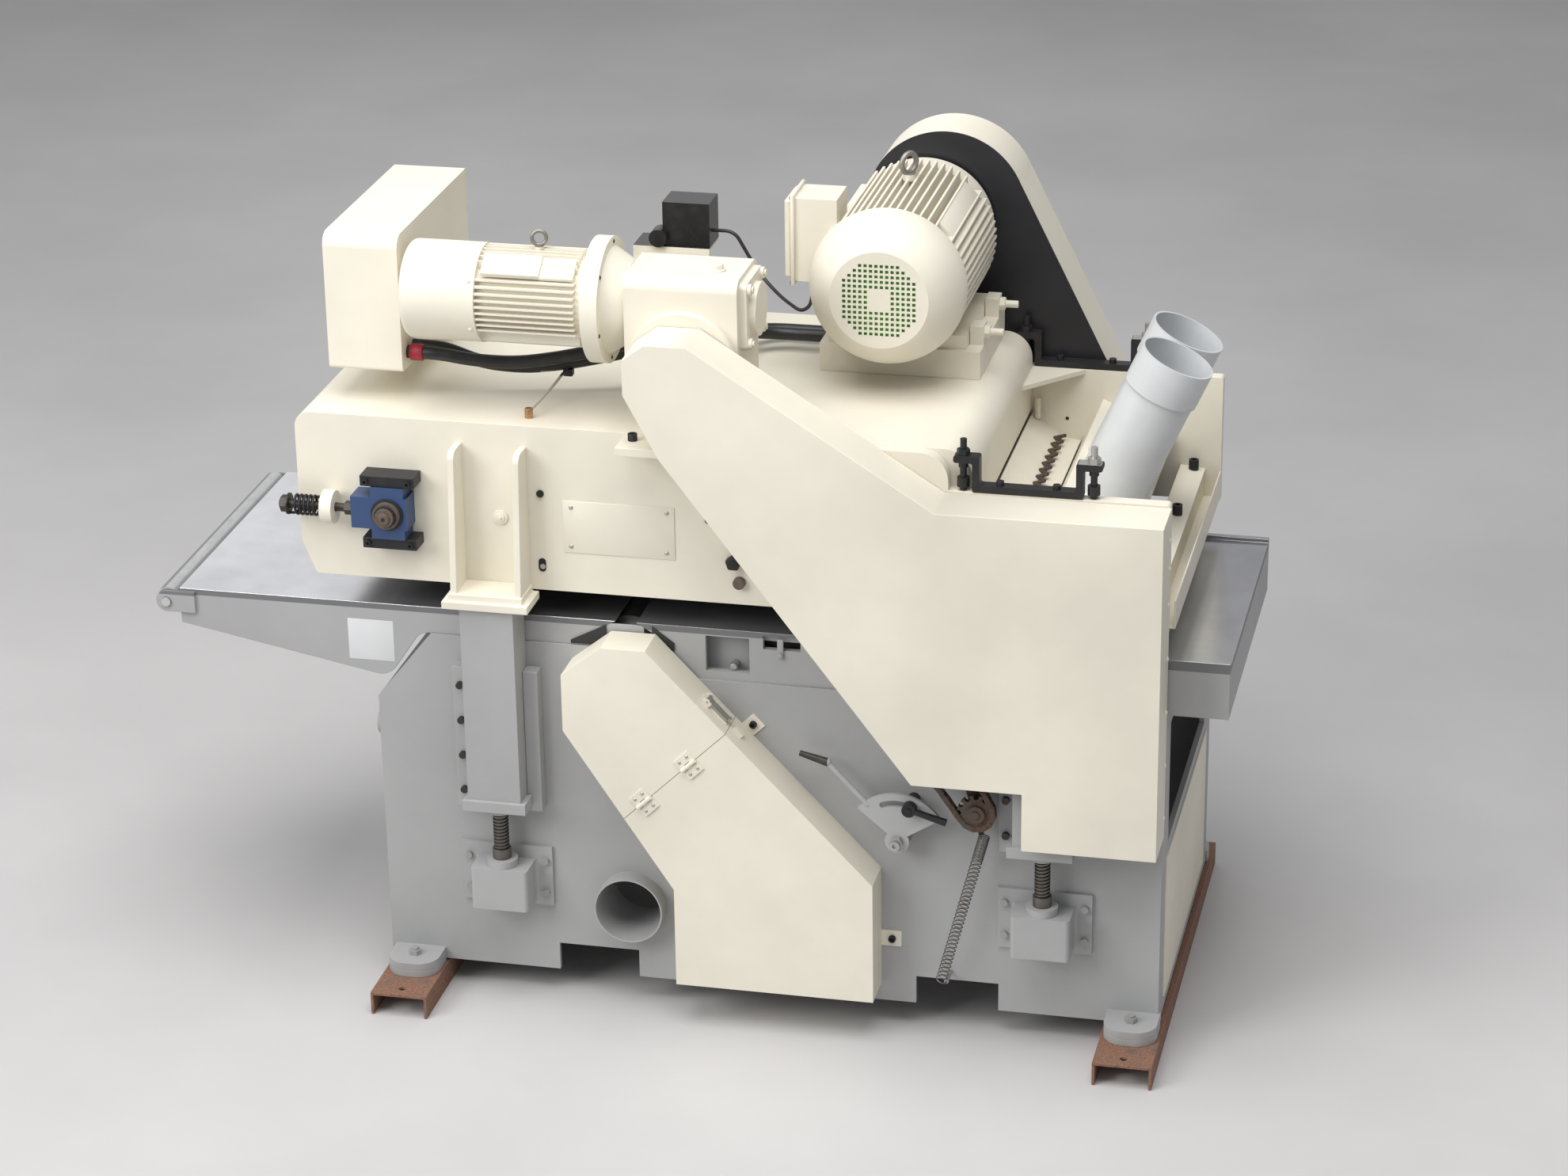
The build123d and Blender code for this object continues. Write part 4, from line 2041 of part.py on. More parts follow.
# Dust pipes with wider sockets at their mouths
with BuildPart() as dust_pipes:
    for foot in pipe_feet():
        start = foot - pipe_way * hood_sheet
        with BuildSketch(Plane(origin=start, z_dir=pipe_way)) as ring:
            Circle(pipe_radius)
            Circle(pipe_radius - pipe_wall, mode=Mode.SUBTRACT)
        extrude(ring.sketch, amount=pipe_length + hood_sheet - socket_length + pipe_wall)
        mouth = foot + pipe_way * (pipe_length - socket_length)
        with BuildSketch(Plane(origin=mouth, z_dir=pipe_way)) as ring:
            Circle(socket_radius)
            Circle(pipe_radius, mode=Mode.SUBTRACT)
        extrude(ring.sketch, amount=socket_length)
        with BuildSketch(Plane(origin=mouth, z_dir=pipe_way)) as ring:
            Circle(socket_radius)
            Circle(pipe_radius - pipe_wall, mode=Mode.SUBTRACT)
        extrude(ring.sketch, amount=pipe_wall)
dust_pipes.part.label = "dust_pipes"
export_step(dust_pipes.part, "parts/dust_pipes.step")


def thick_line(start, end, thickness):
    """A plate's profile between two points, thickened downwards."""
    way = (Vector(*end) - Vector(*start)).normalized()
    down = Vector(way.Y, -way.X) * thickness
    low_start = Vector(*start) + down
    low_end = Vector(*end) + down
    return [start, (low_start.X, low_start.Y), (low_end.X, low_end.Y), end]


def by_cutter(place):
    """A place measured along and up from the upper cutter's axis."""
    return (upper_cutter_x + place[0], upper_cutter_z + place[1])


# Chip breaker and pressure bar ahead of the upper cutterhead
with BuildPart() as chip_breaker:
    upper_plate = thick_line(by_cutter(breaker_start), by_cutter(breaker_end), breaker_thickness)
    prism("y", upper_plate, inside)
    bar_line = thick_line(by_cutter(press_start), by_cutter(press_end), press_bar)
    prism("y", bar_line, inside)
chip_breaker.part.label = "chip_breaker"
export_step(chip_breaker.part, "parts/chip_breaker.step")

# Outfeed guard: a channel and a sloping bar between the head plates
with BuildPart() as outfeed_guard:
    channel_x = (channel_left, channel_left + channel_width)
    channel_z = (channel_bottom, channel_bottom + channel_height)
    block(channel_x, inside, channel_z)
    hollow_x = (channel_x[0] + sheet, channel_x[1] - sheet)
    block(hollow_x, inside, (channel_z[0] + sheet, channel_z[1]), mode=Mode.SUBTRACT)
    slope_ends = [(head_right + x, head_bottom + z) for x, z in (slope_start, slope_end)]
    prism("y", thick_line(*slope_ends, slope_bar), inside)
outfeed_guard.part.label = "outfeed_guard"
export_step(outfeed_guard.part, "parts/outfeed_guard.step")

hat_right = hat_left + hat_length
hat_span = (hood_step_z, hood_step_z + hat_bar)
hat_outline = [
    (hat_left + hat_arm - hat_bar, hat_span[0]),
    (hat_right - hat_arm + hat_bar, hat_span[0]),
    (hat_right - hat_arm + hat_bar, hat_span[0] + hat_rise),
    (hat_right, hat_span[0] + hat_rise),
    (hat_right, hat_span[1] + hat_rise),
    (hat_right - hat_arm, hat_span[1] + hat_rise),
    (hat_right - hat_arm, hat_span[1]),
    (hat_left + hat_arm, hat_span[1]),
    (hat_left + hat_arm, hat_span[1] + hat_rise),
    (hat_left, hat_span[1] + hat_rise),
    (hat_left, hat_span[0] + hat_rise),
    (hat_left + hat_arm - hat_bar, hat_span[0] + hat_rise),
]

# Pressure brackets on the head plates, with their studs and bolts
with BuildPart() as pressure_brackets:
    for middle in (plate / 2 - slide_gap, base_depth - plate / 2 + slide_gap):
        prism("y", hat_outline, (middle - hat_width / 2, middle + hat_width / 2), radii=hat_round)
        for x in (hat_left + stud_inset, hat_right - stud_inset):
            top = hat_span[1] + hat_rise
            bar("z", (x, middle), (hat_span[0], top + stud_above), stud_radius)
            hexagon("z", (x, middle), (top, top + stud_nut_height), stud_nut)
            knurl_low = hat_span[0] + knurl_rise
            bar("z", (x, middle), (knurl_low, knurl_low + knurl_height), knurl_radius)
            arm_low = hat_span[0] + hat_rise
            bar("z", (x, middle), (arm_low - stud_collar_height, arm_low), stud_collar_radius)
        for share in hat_bolt_shares:
            x = hat_left + hat_length * share
            bar("z", (x, middle), (hat_span[1], hat_span[1] + bolt_head_height), bolt_head / 2)
pressure_brackets.part.label = "pressure_brackets"
export_step(pressure_brackets.part, "parts/pressure_brackets.step")

control_x = (control_left, control_right)

# Control box on a short pedestal
with BuildPart() as control_box:
    control_side = [
        (control_front, control_bottom),
        (control_back, control_bottom),
        (control_back, control_top),
        (control_front, control_top),
    ]
    control_rounds = [control_foot_round, control_edge, control_edge, control_round]
    prism("x", control_side, control_x, radii=control_rounds)
    control_inside = (control_left + button_seat + sheet, control_right - sheet)
    control_hollow = (control_bottom + sheet, control_top - sheet)
    hollow_side = [
        (control_front + sheet, control_hollow[0]),
        (control_back, control_hollow[0]),
        (control_back, control_hollow[1]),
        (control_front + sheet, control_hollow[1]),
    ]
    hollow_rounds = [control_foot_round - sheet, 0, 0, control_round - sheet]
    prism("x", hollow_side, control_inside, radii=hollow_rounds, mode=Mode.SUBTRACT)
    lid_x = (control_inside[0] + band_gap, control_inside[1] - band_gap)
    lid_z = (control_hollow[0] + band_gap, control_hollow[1] - band_gap)
    block(lid_x, (control_back - sheet, control_back), lid_z)
    pedestal_x = (control_left + pedestal_inset, control_right - pedestal_inset)
    block(pedestal_x, (pedestal_front, pedestal_back), (head_top, control_bottom))
    for i in range(2):
        place = (button_first_y + button_pitch * i, button_z)
        bar("x", place, (control_left, control_left + button_seat), button_radius + gap, mode=Mode.SUBTRACT)
control_box.part.label = "control_box"
export_step(control_box.part, "parts/control_box.step")

# Push buttons, one node each
for i, name in enumerate(("stop_button", "start_button")):
    place = (button_first_y + button_pitch * i, button_z)
    seat_end = control_left + button_seat - button_travel - gap
    with BuildPart() as push_button:
        bar("x", place, (control_left - button_reach, seat_end), button_radius)
    push_button.part.label = name
    export_step(push_button.part, f"parts/{name}.step")

# Switch box on a bent plate
with BuildPart() as switch_box:
    switch_x = (switch_left, switch_left + switch_width)
    switch_y = (switch_front, switch_front + switch_depth)
    block(switch_x, switch_y, (switch_bottom, switch_bottom + switch_height))
    dial_place = (switch_left - switch_dial_before, switch_bottom + switch_dial_rise)
    dial_span = (switch_front + switch_dial_span[0], switch_front + switch_dial_span[1])
    bar("y", dial_place, dial_span, switch_dial_radius)
    plate_x = (switch_plate_left, switch_plate_right)
    plate_y = (switch_front - switch_plate, switch_front)
    block(plate_x, plate_y, (head_top, switch_bottom))
    block(plate_x, switch_y, (switch_bottom - switch_plate, switch_bottom))
    for x in (switch_plate_left + switch_hole_inset, switch_plate_right - switch_hole_inset):
        bar("y", (x, switch_bottom - switch_hole_drop), plate_y, switch_hole_radius, mode=Mode.SUBTRACT)
switch_box.part.label = "switch_box"
export_step(switch_box.part, "parts/switch_box.step")

box_exit = control_bottom + 33
first_gland = head_top + 38
second_gland = head_top + 26
first_conduit = [
    (control_right, 125, box_exit),
    (132, 125, box_exit),
    (204, 146, head_top + 84),
    (290, 168, head_top + 76),
    (384, 186, head_top + 88),
    (486, 214, head_top + 108),
    (596, 256, head_top + 124),
    (654, 310, head_top + 118),
    (694, 392, head_top + 90),
    (712, 560, first_gland),
    (motor_base_left, 560, first_gland),
]
second_conduit = [
    (control_right, 165, box_exit),
    (132, 165, box_exit),
    (210, 184, head_top + 66),
    (300, 204, head_top + 54),
    (394, 222, head_top + 64),
    (494, 250, head_top + 82),
    (596, 296, head_top + 98),
    (646, 356, head_top + 92),
    (684, 446, head_top + 68),
    (708, 618, second_gland),
    (motor_base_left, 618, second_gland),
]
cable_seat = switch_bottom + 27
terminal_entry = terminal_left + 22
switch_cable = [
    (switch_left + switch_width, 650, cable_seat),
    (650, 650, cable_seat),
    (704, 638, head_top + 148),
    (764, 588, head_top + 112),
    (828, 512, head_top + 106),
    (terminal_entry, 470, head_top + 140),
    (terminal_entry, 470, terminal_bottom),
]
nipple = (348, 48)
nipple_top = head_top + 22
grease_line = [
    (*nipple, head_top + 13),
    (368, 134, head_top + 30),
    (394, 222, head_top + 64),
]


def cord_radii(points):
    """The largest even arcs that a cord's runs leave room for."""
    radii = []
    for a, b, c in zip(points, points[1:], points[2:]):
        shorter = min((b - a).length, (c - b).length)
        half_turn = radians((b - a).get_angle(c - b)) / 2
        radii.append(0.45 * shorter / tan(half_turn))
    return radii


def cord(points, radius):
    """A round cord on straight runs and tangent arcs."""
    route = [spot(*p) for p in points]
    radii = cord_radii(route)
    print("cord radii", [round(r) for r in radii])
    with BuildLine() as line:
        FilletPolyline(*route, radius=radii)
    with BuildSketch(Plane(origin=route[0], z_dir=route[1] - route[0])) as face:
        Circle(radius)
    sweep(face.sketch, path=line.line)


# Conduits, the switch's cable and a grease line with its fitting
with BuildPart() as cables:
    cord(first_conduit, conduit_radius)
    cord(second_conduit, conduit_radius)
    cord(switch_cable, cable_radius)
    cord(grease_line, grease_radius)
    bar("z", nipple, (head_top, nipple_top), nipple_radius)
cables.part.label = "cables"
export_step(cables.part, "parts/cables.step")
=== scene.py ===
import json
from math import atan2, cos, pi, radians, sin, sqrt

import bpy
from mathutils import Matrix, Vector


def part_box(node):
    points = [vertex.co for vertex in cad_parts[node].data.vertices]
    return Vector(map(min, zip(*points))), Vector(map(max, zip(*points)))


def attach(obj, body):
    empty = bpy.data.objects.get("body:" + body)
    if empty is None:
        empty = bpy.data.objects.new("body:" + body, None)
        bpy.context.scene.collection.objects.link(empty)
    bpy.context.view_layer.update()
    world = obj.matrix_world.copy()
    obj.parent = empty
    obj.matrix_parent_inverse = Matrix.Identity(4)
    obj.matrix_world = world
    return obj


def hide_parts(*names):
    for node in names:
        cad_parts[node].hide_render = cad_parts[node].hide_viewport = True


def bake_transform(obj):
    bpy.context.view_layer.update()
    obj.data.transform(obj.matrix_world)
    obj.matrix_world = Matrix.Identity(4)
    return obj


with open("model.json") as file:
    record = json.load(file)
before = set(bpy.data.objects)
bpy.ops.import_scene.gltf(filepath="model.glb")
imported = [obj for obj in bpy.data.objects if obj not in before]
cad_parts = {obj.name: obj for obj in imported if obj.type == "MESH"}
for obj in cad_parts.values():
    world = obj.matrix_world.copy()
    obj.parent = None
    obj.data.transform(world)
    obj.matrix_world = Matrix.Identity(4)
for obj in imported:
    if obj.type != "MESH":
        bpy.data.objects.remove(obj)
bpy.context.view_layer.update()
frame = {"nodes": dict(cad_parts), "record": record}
bpy.ops.object.select_all(action="DESELECT")

# Sizes are in millimetres from the base's left end, its front face and the floor.
BASE_LEFT = -666.75
BASE_FRONT = -386.5


def spot(x, y, z):
    """A place on the machine, in metres."""
    return Vector((BASE_LEFT + x, BASE_FRONT + y, z)) / 1000


# Finishes


class Value:
    """A shader socket that takes part in Python sums."""

    def __init__(self, finish, socket):
        self.finish = finish
        self.socket = socket

    def sum(self, operation, first, second):
        return self.finish.node("Math", {"operation": operation}, {0: first, 1: second})

    def __add__(self, other):
        return self.sum("ADD", self, other)

    def __sub__(self, other):
        return self.sum("SUBTRACT", self, other)

    def __rsub__(self, other):
        return self.sum("SUBTRACT", other, self)

    def __mul__(self, other):
        return self.sum("MULTIPLY", self, other)

    def __gt__(self, other):
        return self.sum("GREATER_THAN", self, other)

    def __lt__(self, other):
        return self.sum("LESS_THAN", self, other)

    def either(self, other):
        return self.sum("MAXIMUM", self, other)

    def between(self, low, high):
        return self.finish.node("MapRange", {}, {0: self, 1: low, 2: high})

    def part(self, index):
        return Value(self.finish, self.socket.node.outputs[index])


class Finish:
    """A material whose nodes are made one at a time."""

    def __init__(self, name):
        self.material = bpy.data.materials.new(name)
        self.material.use_nodes = True
        self.tree = self.material.node_tree
        self.shader = self.tree.nodes["Principled BSDF"]
        self.place = self.node("TexCoord", output="Object")
        self.x = self.node("SeparateXYZ", {}, {0: self.place})
        self.y = self.x.part(1)
        self.z = self.x.part(2)
        normal = self.node("NewGeometry", output="Normal")
        self.up = self.node("SeparateXYZ", {}, {0: normal}, output=2)

    def plug(self, socket, value):
        if isinstance(value, Value):
            self.tree.links.new(value.socket, socket)
        elif socket.type == "RGBA":
            socket.default_value = (*value, 1)
        else:
            socket.default_value = value

    def node(self, kind, settings={}, sockets={}, output=0):
        made = self.tree.nodes.new("ShaderNode" + kind)
        for key, setting in settings.items():
            setattr(made, key, setting)
        for key, value in sockets.items():
            self.plug(made.inputs[key], value)
        return Value(self, made.outputs[output])

    def noise(self, scale, detail=3.0, place=None):
        sockets = {"Vector": place or self.place, "Scale": scale, "Detail": detail, "Roughness": 0.55}
        return self.node("TexNoise", {}, sockets)

    def stretched(self, scale):
        return self.node("Mapping", {}, {"Vector": self.place, "Scale": scale})

    def blend(self, share, first, second):
        return self.node("Mix", {"data_type": "RGBA"}, {0: share, 6: first, 7: second}, output=2)

    def bump(self, height, strength, distance=0.001):
        return self.node("Bump", {}, {"Height": height, "Strength": strength, "Distance": distance})

    def done(self, **sockets):
        for key, value in sockets.items():
            self.plug(self.shader.inputs[key.replace("_", " ")], value)
        return self.material


def shade(colour, share):
    """A colour made darker or paler."""
    return tuple(min(1.0, c * share) for c in colour)


def paint_colour(f, colour, dust, wear):
    """Paint that is a little uneven, dusty on top and dull in patches."""
    cloud = f.noise(2.3, 4.0)
    fine = f.noise(38.0)
    even = f.blend(cloud.between(0.35, 0.7), shade(colour, 0.90), shade(colour, 1.05))
    grime = fine.between(0.52, 0.8) * wear
    return f.blend(f.up.between(0.5, 1.0) * 0.10 + grime, even, dust)


def enamel(name, colour, dust, wear=0.08, gloss=0.40, bare=None):
    """Sprayed machine enamel with a faint peel; bare is a mask and the colour of its metal."""
    f = Finish(name)
    cloud = f.noise(6.0, 4.0)
    skin = paint_colour(f, colour, dust, wear)
    metal = 0.0
    if bare:
        share = bare[0](f)
        skin = f.blend(share, skin, f.blend(f.noise(90.0, 4.0), bare[1], shade(bare[1], 0.45)))
        metal = share * 0.7
    return f.done(
        Base_Color=skin,
        Metallic=metal,
        Roughness=cloud * 0.16 + gloss,
        Normal=f.bump(f.noise(260.0, 2.0), 0.05),
    )


def two_finishes(name, mask, first, second, metal=(0.0, 0.0), rough=(0.4, 0.4)):
    """One piece in two finishes, kept apart by a place on it."""
    f = Finish(name)
    share = mask(f)
    fine = f.noise(30.0)
    colour = f.blend(share, first, second)
    return f.done(
        Base_Color=f.blend(fine.between(0.5, 0.85) * 0.3, colour, (0.08, 0.07, 0.06)),
        Metallic=share * (metal[1] - metal[0]) + metal[0],
        Roughness=share * (rough[1] - rough[0]) + rough[0] + fine * 0.1,
    )


def bright_steel(name, tint, rough, across=(3.0, 3.0, 160.0), metal=1.0):
    """Turned or drawn steel with fine marks along it."""
    f = Finish(name)
    marks = f.noise(9.0, 5.0, f.stretched(across))
    stain = f.noise(14.0, 4.0)
    worn = marks.between(0.3, 0.75) * 0.5 + stain.between(0.55, 0.8) * 0.3
    return f.done(
        Base_Color=f.blend(worn, tint, shade(tint, 0.6)),
        Metallic=metal,
        Roughness=marks * 0.18 + rough,
    )


def rusty(name, steel_tint, rust_tint, share):
    """Bare steel that has gone brown."""
    f = Finish(name)
    patches = f.noise(26.0, 6.0)
    pits = f.noise(190.0, 4.0)
    mask = patches.between(share - 0.16, share + 0.12)
    brown = f.blend(pits.between(0.35, 0.7), rust_tint, shade(rust_tint, 0.5))
    return f.done(
        Base_Color=f.blend(mask, steel_tint, brown),
        Metallic=0.85 - mask * 0.8,
        Roughness=mask * 0.35 + 0.5,
        Normal=f.bump(pits, 0.35, 0.0006),
    )


def black_oxide(name, rough):
    """Blackened steel with a few paler rubs."""
    f = Finish(name)
    rub = f.noise(45.0, 5.0)
    return f.done(
        Base_Color=f.blend(rub.between(0.58, 0.85), OXIDE, (0.09, 0.085, 0.08)),
        Metallic=0.35,
        Roughness=rub * 0.2 + rough,
    )


def moulded(name, colour, rough, grain, spread=1.6):
    """Rubber, plastic or a plain thick paint."""
    f = Finish(name)
    cloud = f.noise(9.0)
    return f.done(
        Base_Color=f.blend(cloud.between(0.4, 0.8), colour, shade(colour, spread)),
        Roughness=cloud * 0.15 + rough,
        Normal=f.bump(f.noise(grain), 0.12, 0.0005),
    )


def ground_table(name, tint, metal):
    """Ground iron on top and on the plate's edge, grey enamel on the skirts."""
    f = Finish(name)
    top = (f.z > TABLE_TOP) * (f.up > 0.3)
    edge = f.z > TABLE_PLATE_LOW
    grind = f.noise(7.0, 6.0, f.stretched((1.2, 150.0, 1.0)))
    stain = f.noise(5.0, 5.0)
    iron = f.blend(stain.between(0.4, 0.72), tint, shade(tint, 0.8))
    skin = f.blend(edge, paint_colour(f, GREY, GREY_DUST, 0.10), PLATE_EDGE)
    return f.done(
        Base_Color=f.blend(top, skin, iron),
        Metallic=top * metal,
        Roughness=top * (grind * 0.12 - 0.32) + 0.46,
    )


IVORY = (0.80, 0.755, 0.635)
IVORY_DUST = (0.66, 0.61, 0.50)
GREY = (0.387, 0.390, 0.387)
GREY_DUST = (0.46, 0.455, 0.44)
OXIDE = (0.022, 0.022, 0.024)
EYE_STEEL = (0.46, 0.43, 0.39)
GRIP_STEEL = (0.10, 0.09, 0.08)
PLATE_EDGE = (0.16, 0.16, 0.165)

# Places where a finish changes on a piece, in metres
TABLE_TOP = 0.8955
TABLE_PLATE_LOW = 0.884
FEED_EYE_LOW = 1.683
FEED_EYE_RIGHT = -0.25
MAIN_EYE_LOW = 1.731
LEVER_GRIP_RIGHT = 0.331
BEARING_BLOCK_LEFT = -0.68485
GUIDE_RING_RIGHT = -0.712
BRACKET_STUD_LOW = 1.3235
BRACKET_STUD_LEFT = 0.741
JACK_BOLT_TOP = 0.3585
SWITCH_PLATE_TOP = 1.5325

cream = enamel("ivory_enamel", IVORY, IVORY_DUST)
feed_cream = enamel(
    "feed_motor_enamel",
    IVORY,
    IVORY_DUST,
    bare=(lambda f: (f.z > FEED_EYE_LOW) * (f.x < FEED_EYE_RIGHT), EYE_STEEL),
)
main_cream = enamel(
    "main_motor_enamel", IVORY, IVORY_DUST, bare=(lambda f: f.z > MAIN_EYE_LOW, EYE_STEEL)
)
grey = enamel("grey_enamel", GREY, GREY_DUST, wear=0.12, gloss=0.44)
pale_grey = enamel(
    "lever_enamel",
    shade(GREY, 1.15),
    GREY_DUST,
    gloss=0.42,
    bare=(lambda f: f.x < LEVER_GRIP_RIGHT, GRIP_STEEL),
)
steel = bright_steel("turned_steel", (0.60, 0.60, 0.59), 0.24)
roller_steel = bright_steel("roller_steel", (0.66, 0.66, 0.655), 0.16, metal=0.85)
zinc = bright_steel("dull_zinc", (0.58, 0.57, 0.54), 0.36)
brass = bright_steel("fitting_brass", (0.55, 0.33, 0.17), 0.34)
oiled = bright_steel("oiled_screw", (0.20, 0.185, 0.165), 0.42)
shaft_brown = rusty("worn_shaft", (0.20, 0.17, 0.15), (0.15, 0.10, 0.075), 0.48)
skid_rust = rusty("skid_rust", (0.26, 0.18, 0.15), (0.30, 0.155, 0.10), 0.36)
chain_rust = rusty("chain_rust", (0.11, 0.095, 0.085), (0.13, 0.078, 0.05), 0.50)
spring_steel = rusty("spring_steel", (0.22, 0.21, 0.195), (0.12, 0.085, 0.06), 0.60)
oxide = black_oxide("black_oxide", 0.42)
rubber = moulded("black_rubber", (0.018, 0.018, 0.018), 0.55, 320.0)
satin_black = moulded("satin_black", (0.014, 0.014, 0.018), 0.34, 150.0, 1.4)
pipe_plastic = moulded("pipe_plastic", (0.58, 0.595, 0.605), 0.24, 200.0, 1.12)
red_push = moulded("red_push", (0.50, 0.03, 0.025), 0.25, 200.0)
gland_red = moulded("gland_red", (0.30, 0.015, 0.03), 0.4, 200.0)
green_push = moulded("green_push", (0.04, 0.30, 0.08), 0.25, 200.0)
fan_green = moulded("fan_green", (0.15, 0.46, 0.08), 0.5, 200.0)
plate_white = moulded("plate_white", (0.66, 0.67, 0.67), 0.32, 120.0, 1.1)
# The same ground iron in two tints: the infeed's paler tint is a painted reflection of bright
# surroundings, and the outfeed's darker tint is a painted reflection of dimmer ones.
infeed_iron_painted_bright = ground_table("infeed_iron_painted_bright", (0.82, 0.82, 0.84), 0.92)
outfeed_iron_painted_dim = ground_table("outfeed_iron_painted_dim", (0.66, 0.66, 0.68), 0.85)
blue = two_finishes(
    "bearing_blue",
    lambda f: f.x < BEARING_BLOCK_LEFT,
    (0.032, 0.068, 0.17),
    (0.07, 0.062, 0.055),
    (0.0, 0.8),
)
guide_black = two_finishes(
    "guide_black", lambda f: f.x < GUIDE_RING_RIGHT, OXIDE, IVORY, (0.3, 0.0), (0.4, 0.34)
)
hat_black = two_finishes(
    "bracket_black",
    lambda f: (f.z > BRACKET_STUD_LOW) * (f.x > BRACKET_STUD_LEFT),
    OXIDE,
    (0.55, 0.54, 0.51),
    (0.3, 0.95),
    (0.42, 0.34),
)
bolt_finish = two_finishes(
    "bolt_finish",
    lambda f: (f.z < JACK_BOLT_TOP).either((f.x > 0.43) * (f.x < 0.53) * (f.z < 0.50)),
    (0.05, 0.048, 0.046),
    (0.34, 0.34, 0.335),
    (0.6, 0.1),
)
switch_finish = two_finishes(
    "switch_finish", lambda f: f.z > SWITCH_PLATE_TOP, IVORY, (0.011, 0.011, 0.012), rough=(0.4, 0.24)
)
cord_finish = two_finishes(
    "cord_finish",
    lambda f: (f.z < 1.3755) * (f.y < -0.1805) * (f.x > -0.335) * (f.x < -0.26),
    (0.018, 0.018, 0.019),
    (0.50, 0.46, 0.37),
    rough=(0.34, 0.42),
)

for names, finish in (
    ("base_end_panel lower_belt_cover cover_flap head_side_plates head_top_shell", cream),
    ("column_brackets chain_cover gearbox motor_base main_motor_cowl upper_belt_cover", cream),
    ("dust_hood chip_breaker outfeed_guard control_box", cream),
    ("feed_motor", feed_cream),
    ("main_motor", main_cream),
    ("foot_plates base_frame lower_motor jack_housings guide_strips lift_columns", grey),
    ("adjust_lever", pale_grey),
    ("infeed_table", infeed_iron_painted_bright),
    ("outfeed_table", outfeed_iron_painted_dim),
    ("end_roller", roller_steel),
    ("feed_roller lower_motor_pulley lower_cutterhead gearbox_sprocket upper_motor_pulley", steel),
    ("upper_cutterhead track_drive", steel),
    ("track_idler", shaft_brown),
    ("lift_screw_front_left lift_screw_front_right lift_screw_rear_left lift_screw_rear_right", oiled),
    ("cover_latch", zinc),
    ("tension_spring", spring_steel),
    ("skid_channels", skid_rust),
    ("feed_chain tension_sprocket tension_arm", chain_rust),
    ("clamp_handle takeup_springs", oxide),
    ("pressure_brackets", hat_black),
    ("upper_cover_backplate", satin_black),
    ("lower_drive_belts upper_drive_belts feed_track", rubber),
    ("dust_pipes", pipe_plastic),
    ("takeup_unit", blue),
    ("takeup_guides", guide_black),
    ("frame_bolts", bolt_finish),
    ("switch_box", switch_finish),
    ("cables", cord_finish),
    ("stop_button", red_push),
    ("start_button", green_push),
):
    for name in names.split():
        mesh = frame["nodes"][name].data
        mesh.materials.clear()
        mesh.materials.append(finish)


# Modelling by hand


def select_only(piece):
    bpy.ops.object.select_all(action="DESELECT")
    piece.select_set(True)
    bpy.context.view_layer.objects.active = piece


def apply_modifier(piece, kind, **settings):
    select_only(piece)
    modifier = piece.modifiers.new(kind.lower(), kind)
    for key, value in settings.items():
        setattr(modifier, key, value)
    bpy.ops.object.modifier_apply(modifier=modifier.name)


def settle(piece, name, body, finish, angle=35):
    """Fixes a finished piece's place, names it and hands it to its body, if it has a single one."""
    select_only(piece)
    bpy.ops.object.transform_apply(location=True, rotation=True, scale=True)
    bpy.ops.object.shade_smooth_by_angle(angle=radians(angle))
    piece.name = name
    piece.data.materials.clear()
    piece.data.materials.append(finish)
    if body:
        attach(piece, body)
    return piece


def slab(x, y, z, edge, segments=2):
    """A block over three spans with eased edges, still to be settled."""
    bpy.ops.object.select_all(action="DESELECT")
    low, high = spot(x[0], y[0], z[0]), spot(x[1], y[1], z[1])
    bpy.ops.mesh.primitive_cube_add(size=1, location=(low + high) / 2)
    piece = bpy.context.object
    piece.scale = high - low
    bpy.ops.object.transform_apply(location=True, rotation=True, scale=True)
    apply_modifier(piece, "BEVEL", width=edge / 1000, segments=segments, limit_method="ANGLE")
    return piece


AXIS_TURN = {"x": (0, pi / 2, 0), "y": (pi / 2, 0, 0), "z": (0, 0, 0)}


def rod(axis, middle, radius, length, edge, sides=32):
    """A round bar or, with six sides, a hexagon bar, with eased rims."""
    bpy.ops.object.select_all(action="DESELECT")
    bpy.ops.mesh.primitive_cylinder_add(
        vertices=sides,
        radius=radius / 1000,
        depth=length / 1000,
        location=spot(*middle),
        rotation=AXIS_TURN[axis],
    )
    piece = bpy.context.object
    bpy.ops.object.transform_apply(location=True, rotation=True, scale=True)
    apply_modifier(
        piece, "BEVEL", width=edge / 1000, segments=2, limit_method="ANGLE", angle_limit=radians(50)
    )
    return piece


def merged(pieces):
    """Several pieces as one."""
    bpy.ops.object.select_all(action="DESELECT")
    for piece in pieces:
        piece.select_set(True)
    bpy.context.view_layer.objects.active = pieces[0]
    bpy.ops.object.join()
    return bpy.context.object


def copied(model, matrix):
    """A copy of a model with its own mesh, moved for good."""
    copy = model.copy()
    copy.data = model.data.copy()
    bpy.context.collection.objects.link(copy)
    copy.matrix_world = matrix
    select_only(copy)
    bpy.ops.object.transform_apply(location=True, rotation=True, scale=True)
    return copy


def repeated(model, places, turn=Matrix.Identity(4)):
    """Copies of one model at several places, joined as one; the model goes."""
    copies = [copied(model, Matrix.Translation(spot(*place)) @ turn) for place in places]
    bpy.data.objects.remove(model, do_unlink=True)
    return merged(copies)


def pull(piece, chosen, shift):
    """Moves the points of a piece that a test picks."""
    select_only(piece)
    bpy.ops.object.mode_set(mode="EDIT")
    bpy.ops.mesh.select_mode(type="VERT")
    bpy.ops.mesh.select_all(action="DESELECT")
    bpy.ops.object.mode_set(mode="OBJECT")
    for vertex in piece.data.vertices:
        vertex.select = chosen(vertex.co)
    bpy.ops.object.mode_set(mode="EDIT")
    bpy.ops.transform.translate(value=shift)
    bpy.ops.object.mode_set(mode="OBJECT")


